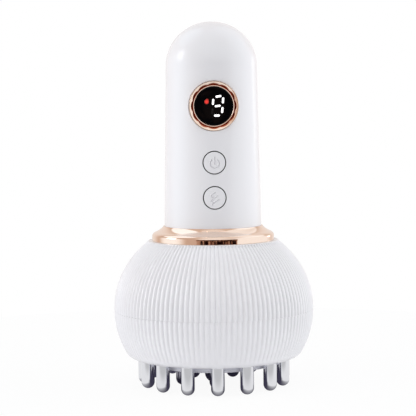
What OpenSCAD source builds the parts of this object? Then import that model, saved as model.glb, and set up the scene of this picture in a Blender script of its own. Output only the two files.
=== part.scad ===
// Handheld body massager: a tapered grip with a round display and two buttons stands on a
// ribbed ball head, and a ring of metal pins carries the head.
// Origin: on the axis, in the plane of the outer pin tips. The display faces -Y, +Z is up.

/* [Grip] */
// Height of the grip above the collar
grip_h = 89.3; // [88:0.1:104]
// Diameter of the grip where it meets the collar
grip_base_d = 42.7; // [41.7:0.1:46]
// Diameter of the grip where its dome starts
grip_top_d = 39.9; // [39.2:0.1:44]
// Height of the domed end
dome_h = 19.1; // [16:0.1:22]
// Wall of the grip
grip_wall = 2; // [1.6:0.1:2.4]

/* [Collar] */
// Height of the collar
collar_h = 6.5; // [5.5:0.1:8]
// Diameter of the collar's upright band
collar_d = 53.8; // [50:0.1:55]
// Height of the upright band
collar_band_h = 1.6; // [1:0.1:2.2]
// Diameter where the flare turns into the shoulder
collar_waist_d = 49; // [46:0.1:49.5]
// Height of that turn above the deck
collar_waist_h = 3.85; // [3:0.05:4.5]
// Lip that shows round the foot of the grip
collar_lip = 0.45; // [0.3:0.05:0.8]

/* [Head] */
// Widest diameter of the head
head_d = 88; // [87:0.5:98]
// Height of the lower shell from its rim to the seam
lower_shell_h = 21; // [19:0.1:23]
// Height of the upper shell from the seam to its deck
upper_shell_h = 30.6; // [26:0.1:31.5]
// Height of the widest line above the seam
belt_rise = 1.5; // [0:0.1:3]
// Half height of the full curve that the upper shell follows
crown_h = 38.6; // [37:0.1:46]
// Fullness of the upper curve, 2 is an ellipse
crown_power = 1.95; // [1.85:0.01:2.2]
// Half height of the full curve that the lower shell follows
bowl_h = 38.7; // [37.5:0.1:46]
// Fullness of the lower curve, 2 is an ellipse
bowl_power = 2.19; // [2.1:0.01:2.4]
// Wall of both head shells
head_wall = 2.4; // [2:0.1:2.6]
// Height of the rounded rim at the bottom
rim_round_h = 2.5; // [1.5:0.1:2.8]
// Rounding of the deck's outer edge
deck_round = 0.6; // [0.3:0.1:1]
// Thickness of the deck and of the floor
deck_t = 2.5; // [2:0.1:3]
// Thickness of the floor round the pins
floor_t = 2; // [1.6:0.1:2.4]

/* [Pins] */
// How far the outer pins reach below the rim
pin_reach = 12.3; // [9:0.1:16]
// Diameter of a pin
pin_d = 5.8; // [5:0.1:6]
// Number of outer pins
outer_pins_n = 15; // [12:1:16]
// Flat left between the outer pins and the rim's rounding
pin_margin = 0.55; // [0.3:0.05:3]
// Number of inner pins
inner_pins_n = 5; // [3:1:6]
// Pitch diameter of the inner pins
inner_ring_d = 30; // [28:0.1:34]
// How much higher the inner tips end
inner_lift = 0.35; // [0:0.05:2]
// Diameter of the centre stud
stud_d = 8.5; // [6:0.1:10]
// Flange that holds a pin down
pin_flange_d = 7.2; // [6.8:0.1:7.4]
// Thickness of that flange
pin_flange_t = 1.5; // [1:0.1:2]
// Spigot that carries heat into a pin
pin_spigot_d = 3; // [2:0.1:4]

/* [Base] */
// How far the base plate stands below the rim
plate_drop = 3.2; // [2:0.1:5]
// Thickness of the base plate's flange
plate_flange_t = 1.6; // [1.2:0.1:2.2]
// Skin left under the base plate's pockets
plate_skin = 2.5; // [1.8:0.1:3.5]
// Rounding of the base plate's lower edge
plate_round = 0.8; // [0.4:0.1:1.5]
// Thickness of the heating plate
heating_plate_t = 2; // [1.5:0.1:3]
// Thickness of the heater film
film_t = 0.4; // [0.2:0.05:0.8]

/* [Display] */
// Height of the display's centre above the collar
display_height = 52.5; // [50.5:0.1:54]
// Outer diameter of the bezel
bezel_d = 21.3; // [20.8:0.1:22]
// How far the bezel stands proud of the grip
bezel_proud = 0.4; // [0.2:0.05:1]
// Diameter of the black window
window_d = 16.5; // [15.6:0.1:16.8]
// Number of scallops cut in the bezel
scallops_n = 12; // [8:1:16]
// Height of the digit
digit_h = 9.3; // [7:0.1:10]
// Width of the digit between its upright strokes
digit_w = 4.2; // [3.5:0.1:5]
// Thickness of a digit's stroke
stroke_t = 1.15; // [0.6:0.05:1.3]
// Lean of the upright strokes in degrees
digit_lean = 5; // [0:0.5:10]
// Slope of the flat strokes in degrees
digit_rise = 8; // [0:0.5:10]

/* [Buttons] */
// Height of the power button above the collar
power_height = 28.35; // [27.9:0.05:30]
// Height of the mode button above the collar
mode_height = 13.3; // [12:0.05:14]
// Diameter of a button
button_d = 9.4; // [8:0.1:10.2]
// Gap round a button
button_gap = 0.37; // [0.3:0.01:0.5]
// Travel of a button
button_travel = 0.4; // [0.2:0.05:0.5]

/* [Inside] */
// Diameter of the battery cell
cell_d = 18.4; // [16:0.1:18.6]
// Length of the battery cell
cell_h = 65; // [50:0.5:66]
// Diameter of the motor can
motor_d = 24.2; // [20:0.1:26]
// Length of the motor can
motor_h = 25.5; // [20:0.1:27]
// Diameter of the motor shaft
shaft_d = 2; // [1.5:0.1:3]
// Radius of the eccentric weight
weight_r = 10.5; // [8:0.1:12]
// Width of the control board
board_w = 24; // [22:0.1:25]
// Length of the control board
board_h = 59; // [58:0.1:60]
// Thickness of the control board
board_t = 1.6; // [1:0.1:2]
// Diameter of a lead
lead_d = 1.2; // [0.8:0.1:1.3]

/* [Clearances] */
// Radial clearance of fixed round fits
fit_gap = 0.1; // [0.05:0.01:0.15]
// Radial clearance of the shaft in the motor
shaft_gap = 0.05; // [0.02:0.01:0.08]
// Gap between a button's flange and the grip
stop_gap = 0.1; // [0.05:0.01:0.2]

/* [Hidden] */
$fn = 96;
curve_steps = 36;
bezier_steps = 10;
eps = 0.01;
// Overshoot of a cut past the surface it opens
over = 1;

// Heights from the pin tips up
rim_z = pin_reach;
plate_face_z = rim_z - plate_drop;
floor_top_z = rim_z + floor_t;
pin_seat_z = floor_top_z + plate_flange_t;
heater_z = pin_seat_z + pin_flange_t;
heater_top_z = heater_z + heating_plate_t;
film_top_z = heater_top_z + film_t;
skirt_h = 7.6;
frame_z = heater_top_z + skirt_h;
frame_t = 2.5;
frame_top_z = frame_z + frame_t;
seam_z = rim_z + lower_shell_h;
belt_z = seam_z + belt_rise;
deck_z = seam_z + upper_shell_h;
deck_under_z = deck_z - deck_t;
collar_top_z = deck_z + collar_h;
overall_h = collar_top_z + grip_h;
dome_z = overall_h - dome_h;
power_z = collar_top_z + power_height;
mode_z = collar_top_z + mode_height;
display_z = collar_top_z + display_height;
cell_rise = 7.6;
cell_z = collar_top_z + cell_rise;

// Rounded rim: an arc that leaves the bowl's curve and meets the flat bottom
head_r = head_d / 2;
round_z = rim_z + rim_round_h;
round_r = head_radius(round_z);
round_t = (belt_z - round_z) / bowl_h;
round_slope = head_r / bowl_h * pow(round_t, bowl_power - 1)
    * pow(1 - pow(round_t, bowl_power), 1 / bowl_power - 1);
round_angle = atan(round_slope);
rim_round_r = rim_round_h / (1 - sin(round_angle));
rim_centre = [round_r - rim_round_r * cos(round_angle), rim_z + rim_round_r];

// Radii of the pins and the plates
pin_r = pin_d / 2;
pin_draft = 0.05;
pin_ring_step = 0.05;
outer_ring_r = round((rim_centre[0] - pin_r - pin_margin) / pin_ring_step) * pin_ring_step;
inner_ring_r = inner_ring_d / 2;
pin_flange_r = pin_flange_d / 2;
stud_r = stud_d / 2;
stud_flange_lip = 1.1;
stud_flange_r = stud_r + stud_flange_lip;
stud_spigot_r = 2;
pin_hole_web = 0.65;
plate_boss_r = outer_ring_r - pin_r - fit_gap - pin_hole_web;
plate_r = outer_ring_r + pin_flange_r;
pocket_web = 1.2;
pocket_rim = 2;
pocket_least = 1;
stud_seat_r = stud_flange_r + pocket_web;
inner_land_r = pin_flange_r + pocket_web;
spigot_short = 0.2;
film_inset = 3.8;
film_r = plate_r - film_inset;
skirt_inset = 0.4;
skirt_r = plate_r - skirt_inset;
skirt_t = 2;
shell_boss_r = 2.4;
shell_boss_ring_r = plate_r + 2 * fit_gap + shell_boss_r;
frame_gap = 0.5;
frame_screw_r = 1.05;
frame_screw_l = 7;
frame_screw_head_r = 2;
frame_screw_head_h = 1.6;
frame_pilot_l = 8;

// Half lap of the seam, with its snap bead and its gasket
lap_h = 2.5;
lap_bead = 0.35;
lap_bead_low = 1;
lap_bead_high = 1.8;
gasket_h = 0.8;
gasket_inset = 0.1;

// Grip and collar radii
base_r = grip_base_d / 2;
top_r = grip_top_d / 2;
rebate = 0.35;
rebate_r = base_r - rebate;
sleeve_bore_r = base_r - grip_wall;
band_r = collar_d / 2;
waist_r = collar_waist_d / 2;
lip_r = base_r + collar_lip;
collar_foot = 0.25;
collar_core_wall = 1.4;

// Neck screws, chassis flange and cable hole
chassis_flange_t = 2.5;
lug_r = 3.1;
lug_h = 10;
lug_merge = 0.2;
lug_ring_r = sleeve_bore_r + lug_merge - lug_r;
lug_angle = 45;
neck_screw_r = 1.25;
neck_screw_l = 13;
neck_pilot_cap = 1;
neck_head_r = 2.8;
neck_head_h = 2;
pilot_gap = 0.05;
screw_hole_gap = 0.35;
cable_hole_r = 4;
cable_inset = 7.85;
cable_y = cable_inset - sleeve_bore_r;

// Board, switches and display stack, as depths in Y
switch_w = 6;
switch_t = 3.4;
plunger_r = 1.7;
plunger_out = 1;
plunger_in = 2.2;
post_reach = 1.2;
flange_t = 1;
switch_wall_r = min(grip_radius(power_z), grip_radius(mode_z)) - grip_wall;
board_y = flange_t + post_reach + plunger_out + switch_t - switch_wall_r;
board_back_y = board_y + board_t;
board_rise = 8.1;
board_z = collar_top_z + board_rise;
board_top_z = board_z + board_h;
connector_w = 6;
connector_t = 4;
connector_h = 6;
connector_gap = 0.8;
web_y = board_back_y + connector_t + connector_gap;
web_t = 1.4;
web_w = 30;
web_over = 2.4;
web_inset = 0.4;
web_top_z = cell_z + cell_h + web_over;
plunger_y = board_y - switch_t - plunger_out;
plunger_back_y = board_y - switch_t + plunger_in;
flange_extra = 1.3;
button_r = button_d / 2;
button_hole_r = button_r + button_gap;
button_flange_r = button_r + flange_extra;
button_spot_gap = 0.3;
button_spot_r = button_flange_r + button_spot_gap;
post_r = 1.6;

// Bezel and window
bezel_r = bezel_d / 2;
window_r = window_d / 2;
bezel_front_y = -(grip_radius(display_z) + bezel_proud);
bezel_depth = 3.85;
bezel_back_y = bezel_front_y + bezel_depth;
bezel_lip = 0.5;
bezel_lip_drop = 0.5;
groove_drop = 0.95;
bezel_edge = 0.3;
window_drop = 0.7;
window_flange_lip = 1.1;
window_flange_r = window_r + window_flange_lip;
window_flange_drop = 2.15;
window_flange_y = bezel_front_y + window_flange_drop;
window_flange_t = 1.2;
window_back_y = window_flange_y + window_flange_t;
module_inset = 0.2;
module_r = window_flange_r - module_inset;
display_boss_wall = 1.8;
display_boss_t = 2;
display_boss_y = bezel_back_y + display_boss_t;
lip_out_r = window_r + fit_gap + bezel_lip;
scallop_face = 0.95;
scallop_r = 3.35;
scallop_ring_r = bezel_r - scallop_face - scallop_r;
scallop_half = 180 / scallops_n;
scallop_cusp_r = scallop_ring_r * cos(scallop_half)
    + sqrt(pow(scallop_r, 2) - pow(scallop_ring_r * sin(scallop_half), 2));
groove_mid_r = (lip_out_r + scallop_cusp_r) / 2;
segment_t = 0.5;
segment_gap = 0.55;

// Battery and charging
cell_r = cell_d / 2;
cell_gap = 0.4;
cell_y = web_y + web_t + cell_gap + cell_r;
clip_gap = 0.15;
clip_t = 1.2;
clip_h = 6;
clip_low = 10;
clip_high = 10;
shelf_t = 2;
shelf_reach = 3;
tab_w = 6;
tab_t = 0.3;
charge_shelf_rise = 0.2;
charge_shelf_z = collar_top_z + charge_shelf_rise;
charge_shelf_t = 1.6;
charge_board_t = 1;
charge_board_w = 14;
charge_board_y = 6;
charge_board_gap = 0.45;
charge_board_back = sqrt(pow(sleeve_bore_r, 2) - pow(charge_board_w / 2, 2)) - charge_board_gap;
charge_shelf_inset = 1;
socket_w = 9;
socket_h = 3.2;
socket_l = 7.3;
socket_t = 0.35;
socket_gap = 0.3;
socket_recess = 1;
socket_back_t = 1;
tongue_t = 0.7;
tongue_inset = 1;
charge_board_z = charge_shelf_z + charge_shelf_t;
socket_z = charge_board_z + charge_board_t + socket_h / 2;
socket_mouth_y = grip_radius(socket_z) - socket_recess;

// Motor
motor_r = motor_d / 2;
motor_boss_r = 3.5;
motor_boss_h = 1.9;
motor_boss_gap = 0.4;
motor_boss_z = frame_top_z - motor_boss_h;
motor_top_z = frame_top_z + motor_h;
motor_tail_r = 3.2;
motor_tail_h = 1.5;
boot_t = 1.2;
cup_gap = 0.05;
cup_t = 2;
cup_h = 16.5;
cup_r = motor_r + boot_t + 2 * cup_gap;
shaft_r = shaft_d / 2;
shaft_inside = 23;
weight_h = 4.5;
weight_gap = 0.7;
shaft_out = 0.5;
weight_z = frame_z - weight_gap - weight_h;
hub_r = 3;
motor_screw_pitch = 16;
motor_screw_r = 1.2;
motor_screw_l = 5;
motor_screw_head_r = 2.1;
motor_screw_head_h = 1.3;
motor_screw_floor = 0.5;
boot_drop = 0.5;
terminal_x = 7;
terminal_w = 2.4;
terminal_t = 0.5;
terminal_h = 2.5;

// Leads: distances along each route
motor_lead_x = -2;
heater_lead_x = 2;
lead_pitch = 2;
charge_lead_x = 0.9;
charge_lead_window = 3;
charge_window_sill = 0.6;
charge_window_head = 0.5;
lead_seat = 0.05;
lead_sides = 8;
lead_steps = 3;
lead_exit = 6;
lead_bend_h = 11;
lead_dip = 2.5;
lead_slack = 1.2;
lead_plug = 5;
lead_plug_top = 2;
lead_foot = 4;
charge_lead_start = 2.5;
charge_lead_rise = 3;
solder_gap = 0.1;
solder_h = 1.4;
solder_rise = 2.2;
window_lead_out = 5;
window_lead_bend = 2;
window_lead_h = 20;
window_lead_lean = 4;
connector_x = 4.6;
connector_low = 6;
connector_mid = 18;
connector_edge = 1.5;
battery_lead_drop = 9.4;
connector_z = board_z + connector_low;
connector_mid_z = board_z + connector_mid;
connector_top_z = min(board_top_z - connector_edge, web_top_z - battery_lead_drop) - connector_h;
lead_in_y = board_back_y + connector_t / 2;

// Outlines

// Radius of the grip's outside at a height
function grip_radius(z) =
    z > dome_z
        ? top_r * sqrt(max(0, 1 - pow((z - dome_z) / dome_h, 2)))
        : top_r + (base_r - top_r) * (dome_z - z) / (dome_z - collar_top_z);

// Radius of a superellipse with half axes a and b
function oval_radius(a, b, power, z) = a * pow(1 - pow(abs(z - belt_z) / b, power), 1 / power);

// Radius of the head's outside, inset by a wall
function head_radius(z, inset = 0) =
    z > belt_z
        ? oval_radius(head_r - inset, crown_h - inset, crown_power, z)
        : oval_radius(head_r - inset, bowl_h - inset, bowl_power, z);

// Points of the head's outline between two heights
function head_curve(from_z, to_z, inset = 0) =
    [for (i = [0 : curve_steps])
        let (z = from_z + (to_z - from_z) * i / curve_steps)
        [head_radius(z, inset), z]];

// A cubic through four control points
function bezier_point(p, t) =
    pow(1 - t, 3) * p[0] + 3 * t * pow(1 - t, 2) * p[1] + 3 * t * t * (1 - t) * p[2] + pow(t, 3) * p[3];
function bezier(p) = [for (i = [0 : bezier_steps]) bezier_point(p, i / bezier_steps)];

// Quarter of an ellipse from the grip's side to its top
function dome_curve(r, h, z) =
    [for (i = [0 : curve_steps])
        let (a = 90 * i / curve_steps)
        [r * cos(a), z + h * sin(a)]];

// Points of the rim's arc, from the bowl's curve down to the flat bottom
round_steps = 12;
function rim_arc() =
    [for (i = [1 : round_steps])
        let (a = round_angle + (90 - round_angle) * i / round_steps)
        [rim_centre[0] + rim_round_r * cos(a), rim_centre[1] - rim_round_r * sin(a)]];

// Lap radii at the seam
lap_in_r = head_radius(seam_z, head_wall);
lap_r = lap_in_r + head_wall / 2;
lap_top_z = seam_z + lap_h;

// Placement

// Copies round the axis, the first one at the front
module ring_of(count, radius) {
    for (i = [0 : count - 1])
        rotate([0, 0, i * 360 / count])
            translate([0, -radius, 0])
                children();
}

// Four places for the neck screws
module at_lugs(z) {
    for (i = [0 : 3])
        rotate([0, 0, lug_angle + 90 * i])
            translate([lug_ring_r, 0, z])
                children();
}

// Four places on the lower shell's bosses
module at_shell_bosses(z) {
    for (i = [0 : 3])
        rotate([0, 0, lug_angle + 90 * i])
            translate([shell_boss_ring_r, 0, z])
                children();
}

// A cylinder along Y from y0 back to y1, at a height
module rod_y(r, y0, y1, z = 0, x = 0) {
    translate([x, y0, z])
        rotate([-90, 0, 0])
            cylinder(r = r, h = y1 - y0);
}

// A box given by its two corners
module box_between(low, high) {
    translate(low)
        cube(high - low);
}

// Solid inside the grip's outer surface, shrunk by an inset
module grip_solid(inset = 0) {
    rotate_extrude()
        polygon(concat(
            [[0, deck_z], [base_r - inset, deck_z], [base_r - inset, collar_top_z]],
            dome_curve(top_r - inset, dome_h - inset, dome_z)));
}

// Solid inside the head's outer surface, shrunk by an inset
module head_solid(inset) {
    rotate_extrude()
        polygon(concat(
            [[0, rim_z + floor_t / 2]],
            head_curve(rim_z + floor_t / 2, deck_z - deck_t / 2, inset),
            [[0, deck_z - deck_t / 2]]));
}

// Grip and display

module handle_sleeve() {
    color([0.93, 0.93, 0.95])
    difference() {
        union() {
            rotate_extrude()
                polygon(concat(
                    [[sleeve_bore_r, deck_z + chassis_flange_t], [sleeve_bore_r, deck_z]],
                    [[rebate_r, deck_z], [rebate_r, collar_top_z], [base_r, collar_top_z]],
                    dome_curve(top_r, dome_h, dome_z),
                    [for (i = [curve_steps : -1 : 0])
                        dome_curve(top_r - grip_wall, dome_h - grip_wall, dome_z)[i]],
                    [[sleeve_bore_r, collar_top_z]]));
            intersection() {
                rod_y(bezel_r + display_boss_wall, -base_r, display_boss_y, display_z);
                grip_solid(grip_wall / 2);
            }
            intersection() {
                at_lugs(deck_z + chassis_flange_t)
                    cylinder(r = lug_r, h = lug_h);
                grip_solid(grip_wall / 2);
            }
        }
        rod_y(bezel_r + fit_gap, -2 * base_r, bezel_back_y, display_z);
        rod_y(window_flange_r + fit_gap, bezel_back_y - eps, display_boss_y + eps, display_z);
        button_cut(power_z);
        button_cut(mode_z);
        at_lugs(deck_z + chassis_flange_t - eps)
            cylinder(r = neck_screw_r + pilot_gap, h = lug_h - neck_pilot_cap);
        socket_slot();
    }
}

// Hole for a button's cap, with a flat inside for its flange to stop on
module button_cut(z) {
    rod_y(button_hole_r, -2 * base_r, 0, z);
    rod_y(button_spot_r, button_stop_y(z), board_back_y, z);
}

// Depth of the flat that stops a button's flange
function button_stop_y(z) = -(grip_radius(z) - grip_wall + stop_gap);

// Opening in the back wall for the charging socket
module socket_slot() {
    slot_r = socket_h / 2 + socket_gap;
    slot_x = socket_w / 2 - socket_h / 2;
    for (side = [-1, 1])
        rod_y(slot_r, sleeve_bore_r / 2, base_r + over, socket_z, side * slot_x);
    box_between([-slot_x, sleeve_bore_r / 2, socket_z - slot_r],
        [slot_x, base_r + over, socket_z + slot_r]);
}

module display_bezel() {
    color([0.85, 0.66, 0.56])
    translate([0, bezel_front_y, display_z])
    rotate([-90, 0, 0])
    difference() {
        rotate_extrude()
            polygon([
                [window_r + fit_gap, bezel_lip_drop],
                [groove_mid_r, bezel_lip_drop],
                [groove_mid_r, 0],
                [bezel_r - bezel_edge, 0],
                [bezel_r, bezel_edge],
                [bezel_r, bezel_depth],
                [window_flange_r + fit_gap, bezel_depth],
                [window_flange_r + fit_gap, window_flange_y - bezel_front_y],
                [window_r + fit_gap, window_flange_y - bezel_front_y]]);
        difference() {
            ring_of(scallops_n, scallop_ring_r)
                translate([0, 0, -over])
                    cylinder(r = scallop_r, h = over + groove_drop);
            translate([0, 0, -2 * over])
                cylinder(r = lip_out_r, h = 3 * over + groove_drop);
        }
    }
}

module display_window() {
    color([0.02, 0.02, 0.025])
    difference() {
        union() {
            rod_y(window_r, bezel_front_y + window_drop, window_flange_y + eps, display_z);
            rod_y(window_flange_r, window_flange_y, window_back_y, display_z);
        }
        segment_set(lit_strokes);
        segment_set(unlit_strokes);
        indicator_shape();
    }
}

// The seven strokes: centre in x and z from the digit's centre, and angle to the level
stroke_step = (digit_h - stroke_t) / 2;
half_w = digit_w / 2;
side_rise = half_w * tan(digit_rise);
upright = 90 - digit_lean;
strokes = [
    [0, stroke_step, digit_rise],
    [half_w, stroke_step / 2 + side_rise, upright],
    [half_w, side_rise - stroke_step / 2, upright],
    [0, -stroke_step, 0],
    [-half_w, -stroke_step / 2 - side_rise, upright],
    [-half_w, stroke_step / 2 - side_rise, upright],
    [0, 0, digit_rise]];
lit_strokes = [0, 1, 2, 3, 5, 6];
unlit_strokes = [4];
digit_x = 1.45;
stroke_reach = (stroke_step - stroke_t) / 2 - segment_gap;

// Chosen strokes, sunk into the window's face
module segment_set(chosen) {
    face_y = bezel_front_y + window_drop;
    for (k = chosen)
        translate([
            digit_x + strokes[k][0] + strokes[k][1] * tan(digit_lean),
            face_y,
            display_z + strokes[k][1]])
            rotate([0, -strokes[k][2], 0])
                stroke();
}

// One stroke: a bar with round ends
module stroke() {
    for (side = [-1, 1])
        rod_y(stroke_t / 2, 0, segment_t, 0, side * stroke_reach);
    box_between([-stroke_reach, 0, -stroke_t / 2], [stroke_reach, segment_t, stroke_t / 2]);
}

// Drop-shaped heat sign beside the digit
indicator_x = -3.6;
indicator_z = 1.8;
indicator_r = 0.95;
indicator_turn = 20;
module indicator_shape() {
    translate([indicator_x, bezel_front_y + window_drop, display_z + indicator_z])
        rotate([0, indicator_turn, 0]) {
            rod_y(indicator_r, 0, segment_t);
            rotate([0, -45, 0])
                cube([indicator_r, segment_t, indicator_r]);
        }
}

module digit_segments() {
    color([1, 1, 1])
        segment_set(lit_strokes);
}

module unlit_segment() {
    color([0.08, 0.08, 0.09])
        segment_set(unlit_strokes);
}

module heat_indicator() {
    color([0.9, 0.2, 0.2])
        indicator_shape();
}

module display_module() {
    color([0.12, 0.12, 0.13])
        rod_y(module_r, window_back_y, board_y, display_z);
}

// Board and switches

board_screw_inset = 2.6;
board_screw_x = board_w / 2 - board_screw_inset;
board_screw_low_z = board_z + board_screw_inset;
board_screw_high_z = board_top_z - board_screw_inset;
board_screw_r = 0.9;
board_screw_l = 3.5;
board_screw_head_r = 1.8;
board_screw_head_h = 1.1;
board_post_r = 2;
pilot_deep = 0.5;

// Four places for the board's screws
module at_board_screws() {
    for (side = [-1, 1])
        for (z = [board_screw_low_z, board_screw_high_z])
            translate([side * board_screw_x, 0, z])
                children();
}

module control_board() {
    color([0.1, 0.35, 0.2])
    difference() {
        box_between([-board_w / 2, board_y, board_z], [board_w / 2, board_back_y, board_top_z]);
        at_board_screws()
            rod_y(board_screw_r + fit_gap, board_y - over, board_back_y + over);
    }
}

main_chip_w = 7;
main_chip_z = 31.5;
driver_chip_w = 4;
driver_chip_h = 5;
driver_chip_x = 7.5;
driver_chip_z = 18.5;
small_chip_w = 3.2;
small_chip_h = 2;
small_chip_x = 7.1;
small_chip_z = 41;
chip_t = 1;

// A chip on the board's back
module chip(x, z, w, h) {
    box_between([x - w / 2, board_back_y, board_z + z - h / 2],
        [x + w / 2, board_back_y + chip_t, board_z + z + h / 2]);
}

module board_chips() {
    color([0.08, 0.08, 0.08]) {
        chip(0, main_chip_z, main_chip_w, main_chip_w);
        chip(-driver_chip_x, driver_chip_z, driver_chip_w, driver_chip_h);
        chip(driver_chip_x, driver_chip_z, driver_chip_w, driver_chip_h);
        chip(small_chip_x, small_chip_z, small_chip_w, small_chip_h);
    }
}

module board_connectors() {
    color([0.92, 0.9, 0.82]) {
        for (side = [-1, 1])
            box_between(
                [side * connector_x - connector_w / 2, board_back_y, connector_z],
                [side * connector_x + connector_w / 2, board_back_y + connector_t,
                    connector_z + connector_h]);
        for (z = [connector_mid_z, connector_top_z])
            box_between([-connector_w / 2, board_back_y, z],
                [connector_w / 2, board_back_y + connector_t, z + connector_h]);
    }
}

module board_screws() {
    color([0.7, 0.7, 0.72])
    at_board_screws() {
        rod_y(board_screw_r, board_y - eps, board_back_y + board_screw_l);
        rod_y(board_screw_head_r, board_y - board_screw_head_h, board_y);
    }
}

module tact_switches() {
    color([0.15, 0.15, 0.16])
    for (z = [power_z, mode_z])
        difference() {
            box_between([-switch_w / 2, board_y - switch_t, z - switch_w / 2],
                [switch_w / 2, board_y, z + switch_w / 2]);
            rod_y(plunger_r + fit_gap, board_y - switch_t - over,
                plunger_back_y + button_travel + fit_gap, z);
        }
}

// A cap whose face follows the grip, with a flange behind the wall and a post to the switch
module button(z) {
    stop_y = button_stop_y(z) + stop_gap;
    intersection() {
        rod_y(button_r, -2 * base_r, stop_y + eps, z);
        grip_solid();
    }
    rod_y(button_flange_r, stop_y, stop_y + flange_t, z);
    rod_y(post_r, stop_y + flange_t - eps, plunger_y, z);
}

module plunger(z) {
    rod_y(plunger_r, plunger_y, plunger_back_y, z);
}

module power_button() {
    color([0.92, 0.92, 0.94])
        button(power_z);
}

module mode_button() {
    color([0.92, 0.92, 0.94])
        button(mode_z);
}

module power_plunger() {
    color([0.2, 0.2, 0.2])
        plunger(power_z);
}

module mode_plunger() {
    color([0.2, 0.2, 0.2])
        plunger(mode_z);
}

// Chassis, battery and charging

module inner_chassis() {
    color([0.85, 0.85, 0.83])
    difference() {
        union() {
            translate([0, 0, deck_z])
                cylinder(r = sleeve_bore_r - fit_gap, h = chassis_flange_t);
            intersection() {
                box_between([-web_w / 2, web_y, deck_z + chassis_flange_t - eps],
                    [web_w / 2, web_y + web_t, web_top_z]);
                grip_solid(grip_wall + web_inset);
            }
            at_board_screws()
                rod_y(board_post_r, board_back_y, web_y + eps);
            for (z = [cell_z + clip_low, cell_z + cell_h - clip_high - clip_h])
                translate([0, cell_y, z])
                    difference() {
                        cylinder(r = cell_r + clip_gap + clip_t, h = clip_h);
                        translate([0, 0, -over])
                            cylinder(r = cell_r + clip_gap, h = clip_h + 2 * over);
                    }
            box_between([-tab_w, web_y, cell_z - tab_t - shelf_t],
                [tab_w, cell_y + shelf_reach, cell_z - tab_t]);
            box_between([-charge_board_w / 2, web_y, charge_shelf_z],
                [charge_board_w / 2, charge_board_back - charge_shelf_inset,
                    charge_shelf_z + charge_shelf_t]);
        }
        at_board_screws()
            rod_y(board_screw_r + pilot_gap, board_back_y - over,
                board_back_y + board_screw_l + pilot_deep);
        at_lugs(deck_z - over)
            cylinder(r = neck_screw_r + screw_hole_gap, h = chassis_flange_t + 2 * over);
        translate([0, cable_y, deck_z - over])
            cylinder(r = cable_hole_r, h = chassis_flange_t + 2 * over);
        box_between([-charge_lead_window, web_y - over, charge_board_z + charge_window_sill],
            [charge_lead_window, web_y + web_t + over, cell_z - tab_t - shelf_t - charge_window_head]);
    }
}

module battery_cell() {
    color([0.2, 0.45, 0.7])
        translate([0, cell_y, cell_z])
            cylinder(r = cell_r, h = cell_h);
}

module battery_tabs() {
    color([0.75, 0.74, 0.7])
    for (z = [cell_z - tab_t, cell_z + cell_h])
        box_between([-tab_w / 2, cell_y - tab_w / 2, z], [tab_w / 2, cell_y + tab_w / 2, z + tab_t]);
}

module charge_board() {
    color([0.1, 0.35, 0.2])
        box_between([-charge_board_w / 2, charge_board_y, charge_board_z],
            [charge_board_w / 2, charge_board_back, charge_board_z + charge_board_t]);
}

// A flat tube with round ends, open at the back, and its contact tongue
module charge_socket() {
    start_y = socket_mouth_y - socket_l;
    flat_x = socket_w / 2 - socket_h / 2;
    color([0.75, 0.75, 0.77]) {
        difference() {
            slot_tube(socket_h / 2, flat_x, start_y, socket_mouth_y);
            slot_tube(socket_h / 2 - socket_t, flat_x, start_y + socket_back_t, socket_mouth_y + over);
        }
        box_between([-flat_x, start_y + socket_back_t - eps, socket_z - tongue_t / 2],
            [flat_x, socket_mouth_y - tongue_inset, socket_z + tongue_t / 2]);
    }
}

// A bar along Y with round sides, centred on the charging socket
module slot_tube(r, flat_x, y0, y1) {
    for (side = [-1, 1])
        rod_y(r, y0, y1, socket_z, side * flat_x);
    box_between([-flat_x, y0, socket_z - r], [flat_x, y1, socket_z + r]);
}

// Collar and head shells

module collar_ring() {
    waist = [waist_r, deck_z + collar_waist_h];
    band_top = [band_r, deck_z + collar_band_h];
    lip = [lip_r, collar_top_z];
    flare_x = waist_r - lip_r;
    flare_z = collar_h - collar_waist_h;
    shoulder_x = band_r - waist_r;
    shoulder_z = collar_waist_h - collar_band_h;
    color([0.86, 0.68, 0.58])
    rotate_extrude()
        polygon(concat(
            [[rebate_r + fit_gap, collar_top_z], [rebate_r + fit_gap, deck_z]],
            [[rebate_r + fit_gap + collar_core_wall, deck_z],
                [rebate_r + fit_gap + collar_core_wall, deck_z + collar_band_h],
                [band_r - collar_core_wall, deck_z + collar_band_h],
                [band_r - collar_core_wall, deck_z]],
            [[band_r - collar_foot, deck_z], [band_r, deck_z + collar_foot]],
            bezier([band_top, band_top + [-0.05 * shoulder_x, 0.55 * shoulder_z],
                waist + [0.46 * shoulder_x, -0.22 * shoulder_z], waist]),
            bezier([waist, waist + [-0.33 * flare_x, 0.25 * flare_z],
                lip + [0.36 * flare_x, -0.34 * flare_z], lip])));
}

module upper_head_shell() {
    deck_r = head_radius(deck_z - deck_round);
    color([0.92, 0.92, 0.94])
    difference() {
        rotate_extrude()
            polygon(concat(
                [[lap_r + fit_gap / 2, seam_z]],
                head_curve(seam_z, deck_z - deck_round),
                [for (i = [1 : 4])
                    let (a = 22.5 * i)
                    [deck_r - deck_round + deck_round * cos(a), deck_z - deck_round + deck_round * sin(a)]],
                [[0, deck_z], [0, deck_under_z]],
                head_curve(deck_under_z, lap_top_z + gasket_h, head_wall),
                [[lap_r + fit_gap / 2, lap_top_z + gasket_h],
                    [lap_r + fit_gap / 2, seam_z + lap_bead_high + fit_gap],
                    [lap_r + lap_bead + fit_gap, seam_z + (lap_bead_low + lap_bead_high) / 2],
                    [lap_r + fit_gap / 2, seam_z + lap_bead_low - fit_gap]]));
        at_lugs(deck_under_z - over)
            cylinder(r = neck_screw_r + screw_hole_gap, h = deck_t + 2 * over);
        translate([0, cable_y, deck_under_z - over])
            cylinder(r = cable_hole_r, h = deck_t + 2 * over);
    }
}

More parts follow.
